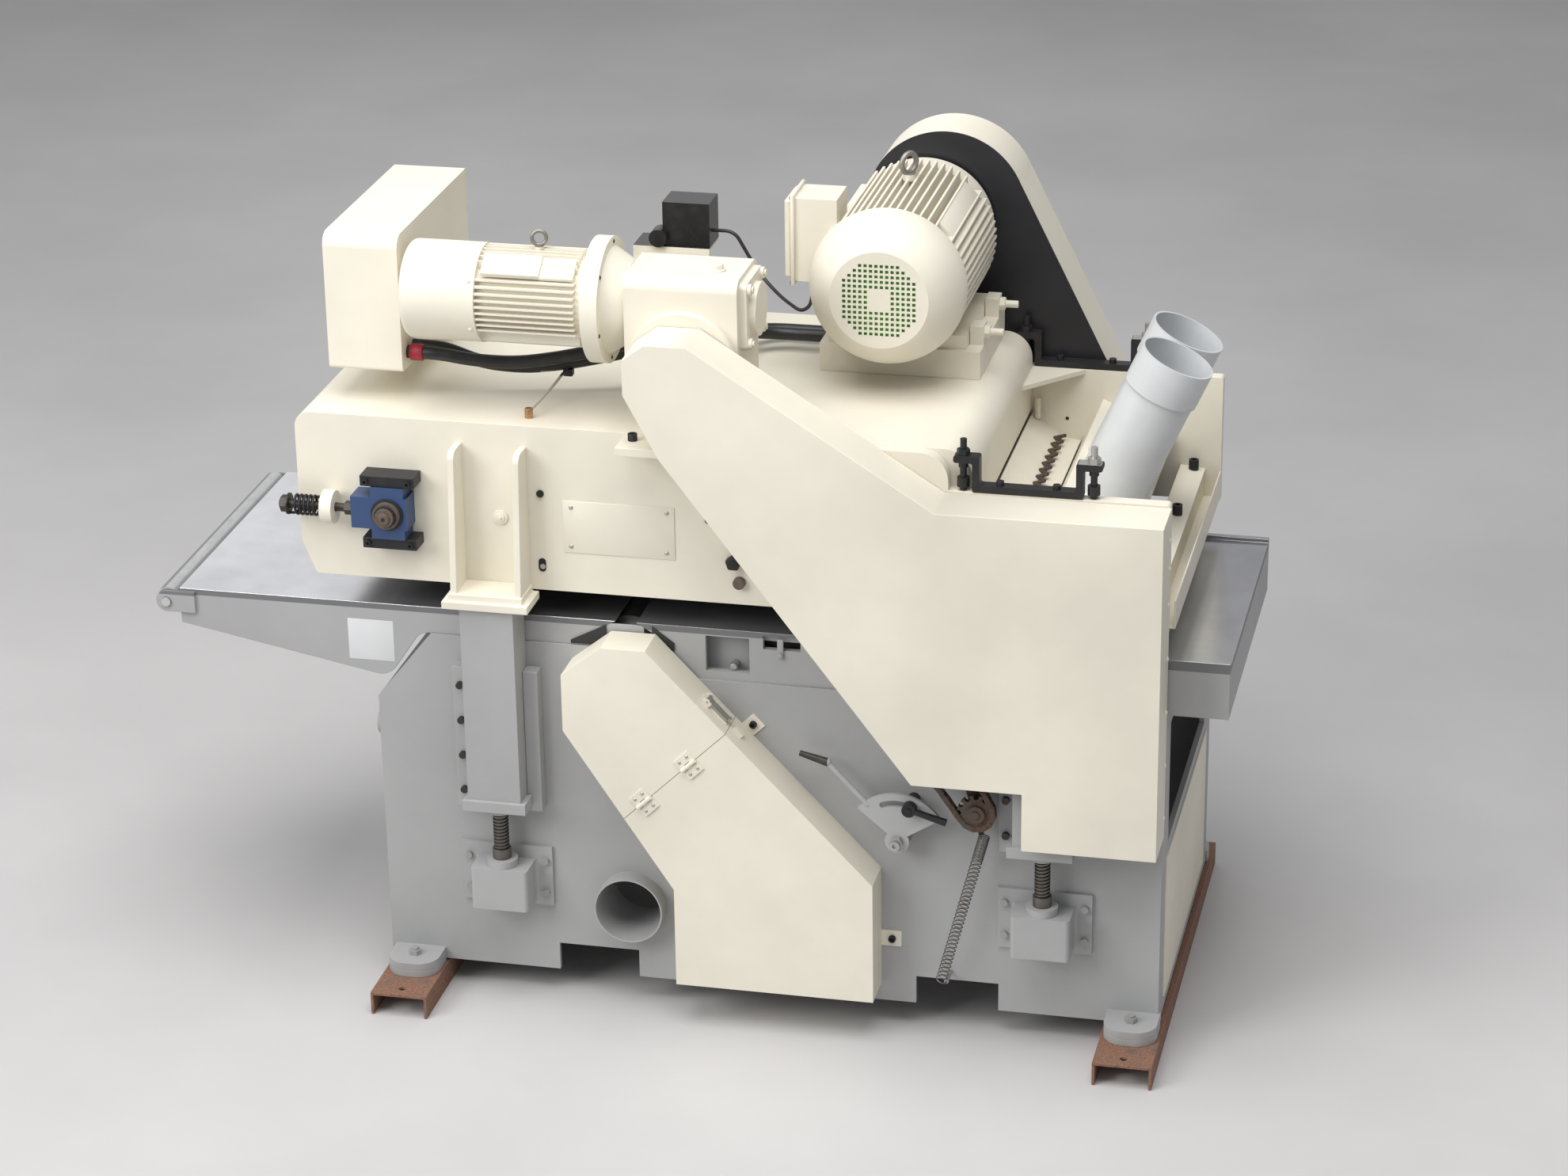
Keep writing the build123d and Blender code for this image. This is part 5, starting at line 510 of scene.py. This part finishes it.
def copied_solid(source):
    """A copy of a solid with its flat faces whole again."""
    copy = source.copy()
    copy.data = source.data.copy()
    copy.parent = None
    copy.matrix_world = source.matrix_world
    bpy.context.collection.objects.link(copy)
    select_only(copy)
    bpy.ops.object.mode_set(mode="EDIT")
    bpy.ops.mesh.select_all(action="SELECT")
    bpy.ops.mesh.remove_doubles(threshold=0.00002)
    bpy.ops.mesh.dissolve_limited(angle_limit=radians(0.6))
    bpy.ops.object.mode_set(mode="OBJECT")
    return copy


BODY_OF = {n: b for b, nodes in frame["record"]["behaviour"]["bodies"].items() for n in nodes}


def softened(node, width):
    """A copy of a solid with its edges eased, shown in its place."""
    source = frame["nodes"][node]
    copy = copied_solid(source)
    apply_modifier(
        copy,
        "BEVEL",
        width=width / 1000,
        segments=2,
        limit_method="ANGLE",
        angle_limit=radians(38),
        miter_outer="MITER_ARC",
    )
    settle(copy, node + "_eased", BODY_OF[node], source.data.materials[0], angle=50)
    apply_modifier(copy, "WEIGHTED_NORMAL", keep_sharp=True, weight=100)
    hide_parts(node)


for node, width in (
    ("chain_cover", 4.0),
    ("lower_belt_cover", 1.2),
    ("cover_flap", 1.2),
    ("head_side_plates", 3.0),
    ("column_brackets", 2.5),
    ("base_frame", 2.5),
    ("lift_columns", 4.0),
    ("guide_strips", 1.5),
    ("jack_housings", 3.0),
    ("infeed_table", 2.0),
    ("outfeed_table", 2.0),
    ("motor_base", 3.0),
    ("control_box", 3.0),
    ("gearbox", 2.5),
    ("outfeed_guard", 1.2),
    ("pressure_brackets", 1.2),
    ("takeup_guides", 1.5),
    ("takeup_unit", 2.0),
    ("switch_box", 2.0),
    ("foot_plates", 2.5),
    ("skid_channels", 1.6),
):
    softened(node, width)


# Small fixings: each is modelled once


def pan_screw(radius, height):
    """A low round screw head that faces the front, at the origin."""
    bpy.ops.object.select_all(action="DESELECT")
    bpy.ops.mesh.primitive_uv_sphere_add(segments=16, ring_count=8, radius=radius / 1000)
    piece = bpy.context.object
    bpy.ops.object.mode_set(mode="EDIT")
    bpy.ops.mesh.select_all(action="SELECT")
    bpy.ops.mesh.bisect(plane_co=(0, 0, 0), plane_no=(0, 0, 1), clear_inner=True, use_fill=True)
    bpy.ops.object.mode_set(mode="OBJECT")
    piece.scale = (1, 1, height / radius)
    piece.rotation_euler = (pi / 2, 0, 0)
    bpy.ops.object.transform_apply(location=False, rotation=True, scale=True)
    return piece


def cap_bolt(radius, height):
    """A round-headed bolt with a socket, upright at the origin."""
    bpy.ops.object.select_all(action="DESELECT")
    bpy.ops.mesh.primitive_cylinder_add(vertices=24, radius=radius / 1000, depth=height / 1000)
    piece = bpy.context.object
    bpy.ops.object.mode_set(mode="EDIT")
    bpy.ops.mesh.select_mode(type="FACE")
    bpy.ops.mesh.select_all(action="DESELECT")
    bpy.ops.object.mode_set(mode="OBJECT")
    for face in piece.data.polygons:
        face.select = face.normal.z > 0.9
    bpy.ops.object.mode_set(mode="EDIT")
    bpy.ops.mesh.inset(thickness=radius * 0.42 / 1000)
    bpy.ops.mesh.extrude_region_move(TRANSFORM_OT_translate={"value": (0, 0, -height * 0.55 / 1000)})
    bpy.ops.object.mode_set(mode="OBJECT")
    return piece


FRONTWARDS = Matrix.Rotation(pi / 2, 4, "X")
BACKWARDS = Matrix.Rotation(-pi / 2, 4, "X")
RIGHTWARDS = Matrix.Rotation(pi / 2, 4, "Y")
SCREW_RIGHT = Matrix.Rotation(pi / 2, 4, "Z")
SCREW_LEFT = Matrix.Rotation(-pi / 2, 4, "Z")

# Axes of the feed motor (y, z), the main motor (x, z) and the idler (x, z), and the track drive's x
FEED_Y, FEED_Z = 110, 1576
MAIN_X, MAIN_Z = 1050, 1556
IDLER_X, IDLER_Z = 62, 1130
TRACK_DRIVE_X = 1080

# The belt cover's front face, and its hinge line's start and direction (x, z)
COVER_FACE = -99
HINGE_X, HINGE_Z = 565.15, 486.85
HINGE_ACROSS, HINGE_UP = 0.7207, 0.6933

# Access panel on the head's front plate
settle(slab((428, 668), (-2, 0.5), (1050, 1166), 0.9), "access_panel", "head", cream)
panel_corners = [(446, -2, 1152), (652, -2, 1154), (444, -2, 1064), (650, -2, 1064)]
settle(repeated(pan_screw(5, 2.4), panel_corners), "access_panel_screws", "head", zinc)

# Plugs, a cover disc and knobs on the front plate
disc = merged([rod("y", (292, -y, 1119), r, 2 * y, 0.8) for y, r in ((2, 16), (3.2, 10), (4.6, 3.5))])
settle(disc, "bracket_disc", "head", cream)
plugs = [rod("y", (x, -1.5, z), 8, 6, 1.2, sides=24) for x, z in ((380, 1178), (741, 1145))]
settle(merged(plugs), "front_plugs", "head", oxide)
oval = [rod("y", (379, -0.5, z), 8, 2.6, 0.6, sides=24) for z in (1010, 1024)]
oval.append(slab((371, 387), (-1.8, 0.8), (1010, 1024), 0.5))
settle(merged(oval), "front_oval", "head", oxide)
settle(rod("y", (380.5, -2, 1014.5), 6, 4, 0.8, sides=20), "front_oval_stud", "head", zinc)
settle(rod("y", (794, -9, 1057), 18, 20, 4.0, sides=5), "front_knob", "head", oxide)
settle(rod("y", (805, -7, 1011), 13, 15, 2.5, sides=24), "front_button", "head", shaft_brown)

# Bolts on the take-up's guide bars, front and rear
for name, y, turn in (
    ("takeup_bar_bolts", -55.5, FRONTWARDS),
    ("takeup_bar_bolts_rear", 855.5, BACKWARDS),
):
    guide_bolts = repeated(cap_bolt(6, 7), [(x, y, z) for x in (16, 108) for z in (1199, 1061)], turn)
    settle(guide_bolts, name, "head", oxide)


def round_feed_axis(x, radius, first, step, count):
    """Places round the feed motor's axis."""
    angles = [radians(first + step * i) for i in range(count)]
    return [(x, FEED_Y + radius * cos(a), FEED_Z + radius * sin(a)) for a in angles]


def tilted(piece, middle, angle, axis):
    """Turns a piece about an axis through a place."""
    select_only(piece)
    bpy.ops.transform.rotate(value=radians(angle), orient_axis=axis, center_override=spot(*middle))


# Feed motor: flange screws, fan cover screws and the flat between its fins
flange_screws = repeated(pan_screw(5, 2.5), round_feed_axis(519.5, 121, 20, 60, 6), SCREW_RIGHT)
settle(flange_screws, "feed_flange_screws", "head", oxide)
fan_screws = repeated(pan_screw(5, 4), round_feed_axis(238, 103, 30, 60, 6))
settle(fan_screws, "fan_cover_screws", "head", cream)
for name, x, y, z, finish in (
    ("feed_motor_flat", (262, 386), (3, 16), (1550, 1602), cream),
    ("feed_motor_ledge", (384, 458), (9, 18), (1550, 1602), cream),
    ("feed_motor_tag", (274, 374), (1.6, 4), (1558, 1594), plate_white),
):
    flat = slab(x, y, z, 1.0)
    tilted(flat, (360, FEED_Y, FEED_Z), 53, "X")
    settle(flat, name, "head", finish)

# Gearbox: a filler plug and bolts on its end cover
end_corners = [(829, FEED_Y + y, FEED_Z + z) for y in (-58, 58) for z in (-58, 58)]
settle(repeated(cap_bolt(7, 8), end_corners, RIGHTWARDS), "gearbox_end_bolts", "head", cream)
filler = [rod("z", (749, 92, 1660), 17, 6, 1.0), rod("z", (749, 92, 1667), 13, 12, 1.5, sides=6)]
settle(merged(filler), "gearbox_filler", "head", cream)

# Main motor: the fan behind its grille, a flat between its fins and a terminal box lid
fan = [
    rod("y", (MAIN_X, 267, MAIN_Z), 94, 5, 1.0, sides=48),
    rod("y", (MAIN_X, 290, MAIN_Z), 40, 44, 3.0),
]
settle(merged(fan), "cooling_fan", "head", fan_green)
flats = []
for angle in (-45, 45):
    flat = slab((1204, 1214), (400, 700), (1534, 1578), 2.0)
    tilted(flat, (MAIN_X, 550, MAIN_Z), angle, "Y")
    flats.append(flat)
settle(merged(flats), "main_motor_flats", "head", cream)
lid = [
    slab((833, 841), (392, 513), (1532, 1730), 2.0),
    slab((818, 836), (402, 503), (1542, 1720), 7.0, segments=1),
]
settle(merged(lid), "terminal_lid", "head", cream)
lid_corners = [(833, y, z) for y in (397, 508) for z in (1538, 1724)]
settle(repeated(pan_screw(4.5, 3), lid_corners, SCREW_LEFT), "terminal_lid_screws", "head", zinc)

# Switch plate screws
switch_screws = repeated(pan_screw(7, 4), [(x, 600, 1509) for x in (462, 577)])
settle(switch_screws, "switch_plate_screws", "head", oxide)

# Chain cover: fixing screws down its right edge and the bolt on its ledge
cover_edge = [(1703, -22, z) for z in (560, 680, 800, 920, 1040, 1120, 1180)]
settle(repeated(pan_screw(6, 4), cover_edge, SCREW_RIGHT), "chain_cover_screws", "head", cream)
settle(repeated(cap_bolt(10, 14), [(594, -40, 1334)]), "ledge_bolt", "head", oxide)

# A plain plate on the infeed table's skirt
settle(slab((-62, 40), (4.2, 5.4), (764, 858), 0.4), "skirt_plate", "base", plate_white)

# The outfeed table's hand pocket and slot
pocket = [
    slab((720, 828), (40, 43), (794, 872), 0.8),
    slab((720, 828), (18, 43), (790, 795), 0.8),
]
settle(merged(pocket), "hand_pocket_back", "base", grey)
settle(rod("y", (784, 26, 810), 8, 26, 2.5, sides=20), "pocket_knob", "base", zinc)
settle(slab((846, 936), (30, 33), (852, 873), 0.8), "slot_back", "base", oxide)
slot_tab = [
    slab((882, 895), (0.6, 5.2), (842, 886), 1.0),
    rod("y", (888.5, -1, 851), 5, 7, 1.0, sides=20),
]
settle(merged(slot_tab), "slot_tab", "base", grey)

# Near-black sheets beside the belt cover's top, which are painted shade in the gaps there, and the
# strip that closes the cutter's mouth
for name, x, z, corner, drop in (
    ("belt_backing_left", (434, 512), (842, 889), -1, 40),
    ("belt_backing_right", (612, 660), (842, 893), 1, 34),
):
    shade_sheet = slab(x, (1.2, 4.2), z, 0.5)
    middle = spot(sum(x) / 2, 0, sum(z) / 2)
    pull(shade_sheet, lambda co: corner * (co.x - middle.x) > 0 and co.z > middle.z, (0, 0, -drop / 1000))
    settle(shade_sheet, name, "base", rubber)
settle(slab((509, 594), (5.2, 9), (858, 892), 0.8), "mouth_strip", "base", grey)

# Belt cover: tab bolts and hinge screws on both leaves
tab_bolts = repeated(cap_bolt(8, 8), [(829, -6, 689), (1126, -6, 211)], FRONTWARDS)
settle(tab_bolts, "belt_cover_tab_bolts", "base", oxide)
for name, body, up in (("hinge_screws", "base", -17), ("flap_hinge_screws", "flap", 17)):
    places = [
        (
            HINGE_X + HINGE_ACROSS * along - HINGE_UP * up,
            COVER_FACE,
            HINGE_Z + HINGE_UP * along + HINGE_ACROSS * up,
        )
        for along in (53, 75, 190, 212)
    ]
    settle(repeated(pan_screw(4, 2.2), places), name, body, zinc)

# The lever's pivot screw
settle(repeated(cap_bolt(10, 9), [(1145, -64.5, 464)], FRONTWARDS), "lever_screw", "base", zinc)

# A cap on the base's left end
settle(rod("x", (-8, 62, 596), 28, 24, 4.0), "base_end_cap", "base", grey)

# A red gland where the first conduit leaves the control box
settle(rod("x", (86, 125, 1428), 18, 30, 3.0, sides=10), "conduit_gland", "head", gland_red)

# Control box: a plain panel on its left face and collars round the buttons
settle(slab((-98.6, -96.6), (118, 552), (1430, 1654), 0.7), "control_panel", "head", cream)
panel_corners = [(-98.6, y, z) for y in (134, 536) for z in (1446, 1638)]
panel_screws = repeated(pan_screw(4.5, 2.4), panel_corners, SCREW_LEFT)
settle(panel_screws, "control_panel_screws", "head", zinc)
collars = []
for node in ("stop_button", "start_button"):
    low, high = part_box(node)
    middle = (Vector(low) + Vector(high)) / 2 * 1000
    collars.append(rod("x", (-99.6, middle.y - BASE_FRONT, middle.z), 17, 4, 1.2, sides=40))
settle(merged(collars), "button_collars", "head", zinc)

# The grease line's fitting and its clip on the conduits
settle(rod("z", (348, 48, 1337.5), 9.5, 22, 2.0, sides=6), "grease_fitting", "head", brass)
settle(slab((379, 399), (206, 226), (1364, 1380), 2.0), "grease_clip", "head", oxide)

# Seals and stepped ends on the idler's shaft, front and rear
for name, sign in (("idler_seals", -1), ("idler_seals_rear", 1)):
    plate = 400 + 400 * sign
    seal = rod("y", (IDLER_X, plate + 60.6 * sign, IDLER_Z), 35, 3, 0.6, sides=48)
    ring = rod("y", (IDLER_X, plate + 74 * sign, IDLER_Z), 24, 6, 1.2, sides=40)
    settle(merged([seal, ring]), name, "idler_drum", oxide)
    step = rod("y", (IDLER_X, plate + 86 * sign, IDLER_Z), 13, 6, 1.0)
    settle(step, name + "_step", "idler_drum", shaft_brown)
    centre = rod("y", (IDLER_X, plate + 89 * sign, IDLER_Z), 4.5, 1.6, 0.4, sides=16)
    settle(centre, name + "_centre", "idler_drum", oxide)

# Knobs on the outfeed guard, and small fittings on the rear head plate
guard_knobs = repeated(cap_bolt(11, 22), [(1654, y, 1048) for y in (160, 482, 755)])
settle(guard_knobs, "guard_knobs", "head", oxide)
settle(rod("z", (1306, 752, 1158), 8, 48, 2.0, sides=6), "breaker_stud", "head", cream)
settle(rod("y", (1369, 771.6, 1130), 4, 2, 0.5, sides=16), "rear_plate_plug", "head", oxide)


# The feed chain, link by link along its route round four sprockets: x, z, teeth and side
CHAIN_PITCH = 19.05
CHAIN_DEPTH = -65
CHAIN_STOPS = [
    (690.0, 1478.0, 17, 1),
    (TRACK_DRIVE_X, 1130.0, 20, 1),
    (1240.0, 866.4, 14, -1),
    (1318.0, 557.0, 12, 1),
]


def chain_route():
    """The chain's straight runs and arcs as closely spaced points."""
    stops = [
        (Vector((x, z)), side * CHAIN_PITCH / (2 * sin(pi / teeth)))
        for x, z, teeth, side in CHAIN_STOPS
    ]
    runs = []
    for (a, ra), (b, rb) in zip(stops, stops[1:] + stops[:1]):
        way = (b - a).normalized()
        lean = (ra - rb) / (b - a).length
        side = Vector((-way.y, way.x)) * sqrt(1 - lean * lean) + way * lean
        runs.append((a + side * ra, b + side * rb))
    line = []
    for index, (start, end) in enumerate(runs):
        steps = max(2, int((end - start).length))
        line += [start.lerp(end, i / steps) for i in range(steps)]
        centre, radius = stops[(index + 1) % len(stops)]
        after = runs[(index + 1) % len(runs)][0]
        first = atan2(end.y - centre.y, end.x - centre.x)
        last = atan2(after.y - centre.y, after.x - centre.x)
        turn = (first - last) % (2 * pi) if radius > 0 else -((last - first) % (2 * pi))
        steps = max(2, int(abs(turn * radius)))
        for i in range(steps):
            angle = first - turn * i / steps
            line.append(centre + abs(radius) * Vector((cos(angle), sin(angle))))
    return line


def even_points(line):
    """Points one pitch apart, an even number of them, round a closed line."""
    lengths = [0.0]
    for a, b in zip(line, line[1:] + line[:1]):
        lengths.append(lengths[-1] + (b - a).length)
    count = 2 * round(lengths[-1] / CHAIN_PITCH / 2)
    points = []
    index = 0
    for k in range(count):
        target = lengths[-1] * k / count
        while lengths[index + 1] < target:
            index += 1
        share = (target - lengths[index]) / (lengths[index + 1] - lengths[index])
        points.append(line[index].lerp(line[(index + 1) % len(line)], share))
    return points


def link_plate(depth):
    """One link plate, lying along X at a depth from the chain's middle."""
    plate = rod("y", (-BASE_LEFT, -BASE_FRONT + depth, 0), 6.0, 1.7, 0.3, sides=16)
    pull(plate, lambda co: co.x > 0.0001, (CHAIN_PITCH / 2000, 0, 0))
    pull(plate, lambda co: co.x < -0.0001, (-CHAIN_PITCH / 2000, 0, 0))
    return plate


def chain_link(depth, roller):
    """Two plates and the roller or pin at one end."""
    pin = rod("y", (-BASE_LEFT - CHAIN_PITCH / 2, -BASE_FRONT, 0), roller, 2 * depth, 0.3, sides=10)
    return merged([link_plate(depth), link_plate(-depth), pin])


points = even_points(chain_route())
models = [chain_link(8.0, 2.8), chain_link(6.9, 5.4)]
links = []
for index, here in enumerate(points):
    there = points[(index + 1) % len(points)]
    middle = (here + there) / 2
    lean = Matrix.Rotation(-atan2(there.y - here.y, there.x - here.x), 4, "Y")
    place = Matrix.Translation(spot(middle.x, CHAIN_DEPTH, middle.y))
    links.append(copied(models[index % 2], place @ lean))
for model in models:
    bpy.data.objects.remove(model, do_unlink=True)
chain = settle(merged(links), "feed_chain_links", None, chain_rust)
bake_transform(chain)
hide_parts("feed_chain")


def stretched_between(node, first, second, start, end):
    """A copy of a solid, shown in its place and handed to no body."""
    source = frame["nodes"][node]
    copy = settle(copied_solid(source), node + "_stretched", None, source.data.materials[0])
    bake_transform(copy)
    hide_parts(node)


# Springs and the feed track as plain copies in their place, handed to no body
low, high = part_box("tension_spring")
stretched_between("tension_spring", "base", "arm", (0, 0, low[2]), (0, 0, high[2]))
low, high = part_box("takeup_springs")
stretched_between("takeup_springs", "head", "takeup", (high[0], 0, 0), (low[0], 0, 0))
track_ends = spot(TRACK_DRIVE_X, 0, 0), spot(IDLER_X, 0, 0)
stretched_between("feed_track", "head", "takeup", *track_ends)


# Lift screws with a real thread
def profile(points):
    """A line through points in the XZ plane, extruded step by step."""
    bpy.ops.object.select_all(action="DESELECT")
    bpy.ops.mesh.primitive_plane_add(size=0.001)
    piece = bpy.context.object
    bpy.ops.object.mode_set(mode="EDIT")
    bpy.ops.mesh.select_all(action="SELECT")
    bpy.ops.mesh.merge(type="CENTER")
    bpy.ops.transform.translate(value=points[0])
    for a, b in zip(points, points[1:]):
        bpy.ops.mesh.extrude_region_move(TRANSFORM_OT_translate={"value": Vector(b) - Vector(a)})
    bpy.ops.object.mode_set(mode="OBJECT")
    return piece


THREAD_PITCH = 8.0
THREAD_TURNS = 64
THREAD_LOW = 346.0
THREAD_ROOT = 13.6
THREAD_CREST = 16.9
SCREW_FOOT = 246.1
JOURNAL_TOP = 369
SCREW_TOP = 880


def threaded_screw(name, x, y):
    """A lift screw: plain journal, square-ish thread and a plain top."""
    steps = [
        (THREAD_ROOT, 0),
        (THREAD_ROOT, 3.2),
        (THREAD_CREST, 4.0),
        (THREAD_CREST, 7.2),
        (THREAD_ROOT, THREAD_PITCH),
    ]
    piece = profile([Vector((r / 1000, 0, z / 1000)) for r, z in steps])
    apply_modifier(
        piece,
        "SCREW",
        angle=2 * pi,
        screw_offset=THREAD_PITCH / 1000,
        iterations=THREAD_TURNS,
        steps=20,
        render_steps=20,
        use_merge_vertices=True,
        merge_threshold=0.00002,
        use_normal_calculate=True,
    )
    piece.location = spot(x, y, THREAD_LOW)
    bpy.ops.object.transform_apply(location=True)
    top = THREAD_LOW + THREAD_PITCH * (THREAD_TURNS + 1)
    journal_middle = (SCREW_FOOT + JOURNAL_TOP) / 2
    journal = rod("z", (x, y, journal_middle), 20, JOURNAL_TOP - SCREW_FOOT, 1.5, sides=40)
    core = rod("z", (x, y, (JOURNAL_TOP + top) / 2), THREAD_ROOT - 0.2, top - JOURNAL_TOP + 4, 0.5)
    tip = rod("z", (x, y, (top - 1 + SCREW_TOP) / 2), THREAD_CREST, SCREW_TOP - top + 1, 1.5)
    whole = settle(merged([journal, piece, core, tip]), name + "_threaded", BODY_OF[name], oiled)
    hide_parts(name)


for name, x, y in (
    ("lift_screw_front_left", 276.0, -45.0),
    ("lift_screw_front_right", 1455.5, -45.0),
    ("lift_screw_rear_left", 276.0, 845.0),
    ("lift_screw_rear_right", 1000.0, 845.0),
):
    threaded_screw(name, x, y)

# Zigzag springs along the chip breaker's edge
ZIG_COUNT = 36
ZIG_STEP = 20
ZIG_ANGLE = 42
zig = rod("x", (-BASE_LEFT, -BASE_FRONT, 0), 4.0, 31, 1.5, sides=12)
zigs = []
for i in range(ZIG_COUNT):
    lean = Matrix.Rotation(radians(ZIG_ANGLE if i % 2 else -ZIG_ANGLE), 4, "Z")
    zigs.append(copied(zig, Matrix.Translation(spot(1358, 42 + ZIG_STEP * i, 1097)) @ lean))
bpy.data.objects.remove(zig, do_unlink=True)
settle(merged(zigs), "chip_breaker_springs", "head", chain_rust)


# Camera, light and floor
CAMERA_AZIMUTH = radians(13.01)
CAMERA_HEIGHT_ANGLE = radians(22.81)
CAMERA_ROLL = radians(-0.86)
CAMERA_PLACE = spot(2649.7, -7577.2, 4275.6)
ahead = Vector((
    -sin(CAMERA_AZIMUTH) * cos(CAMERA_HEIGHT_ANGLE),
    cos(CAMERA_AZIMUTH) * cos(CAMERA_HEIGHT_ANGLE),
    -sin(CAMERA_HEIGHT_ANGLE),
))
right = Vector((cos(CAMERA_AZIMUTH), sin(CAMERA_AZIMUTH), 0))
over = right.cross(ahead)
rolled_right = right * cos(CAMERA_ROLL) + over * sin(CAMERA_ROLL)
rolled_over = over * cos(CAMERA_ROLL) - right * sin(CAMERA_ROLL)
camera_data = bpy.data.cameras.new("photo_camera")
camera_data.sensor_width = 36.0
camera_data.lens = 93.31
camera_data.clip_end = 100.0
camera = bpy.data.objects.new("photo_camera", camera_data)
bpy.context.collection.objects.link(camera)
turned = Matrix((rolled_right, rolled_over, -ahead)).transposed().to_4x4()
camera.matrix_world = Matrix.Translation(CAMERA_PLACE) @ turned
bpy.context.scene.camera = camera


def soft_lamp(name, place, aim, size, power):
    """A large square lamp turned to its aim."""
    data = bpy.data.lights.new(name, "AREA")
    data.size = size
    data.energy = power
    lamp = bpy.data.objects.new(name, data)
    bpy.context.collection.objects.link(lamp)
    way = Vector(aim) - Vector(place)
    turn = way.to_track_quat("-Z", "Y").to_matrix().to_4x4()
    lamp.matrix_world = Matrix.Translation(Vector(place)) @ turn


soft_lamp("overhead_lamp", (0.2, -1.8, 6.5), (0, 0, 0.8), 5.0, 365)
soft_lamp("left_lamp", (-4.4, -5.0, 4.7), (0, 0, 0.9), 4.0, 300)
soft_lamp("back_lamp", (-2.4, 6.6, 4.0), (-0.6, 0, 0.9), 5.0, 38)
soft_lamp("right_lamp", (5.5, -3.0, 4.0), (0.2, 0, 0.9), 4.0, 14)

world = bpy.data.worlds.new("studio")
world.use_nodes = True
background = world.node_tree.nodes["Background"]
background.inputs["Color"].default_value = (0.95, 0.96, 1.0, 1)
background.inputs["Strength"].default_value = 0.34
bpy.context.scene.world = world

bpy.ops.object.select_all(action="DESELECT")
bpy.ops.mesh.primitive_plane_add(size=80, location=(0, 0, 0))
floor = bpy.context.object
floor.name = "pale_floor"
concrete = Finish("pale_concrete")
patches = concrete.noise(0.7, 6.0)
floor.data.materials.append(
    concrete.done(
        Base_Color=concrete.blend(
            patches.between(0.3, 0.75), (0.50, 0.49, 0.485), (0.60, 0.588, 0.58)
        ),
        Roughness=0.7,
    )
)

bpy.context.scene.view_settings.view_transform = "Standard"
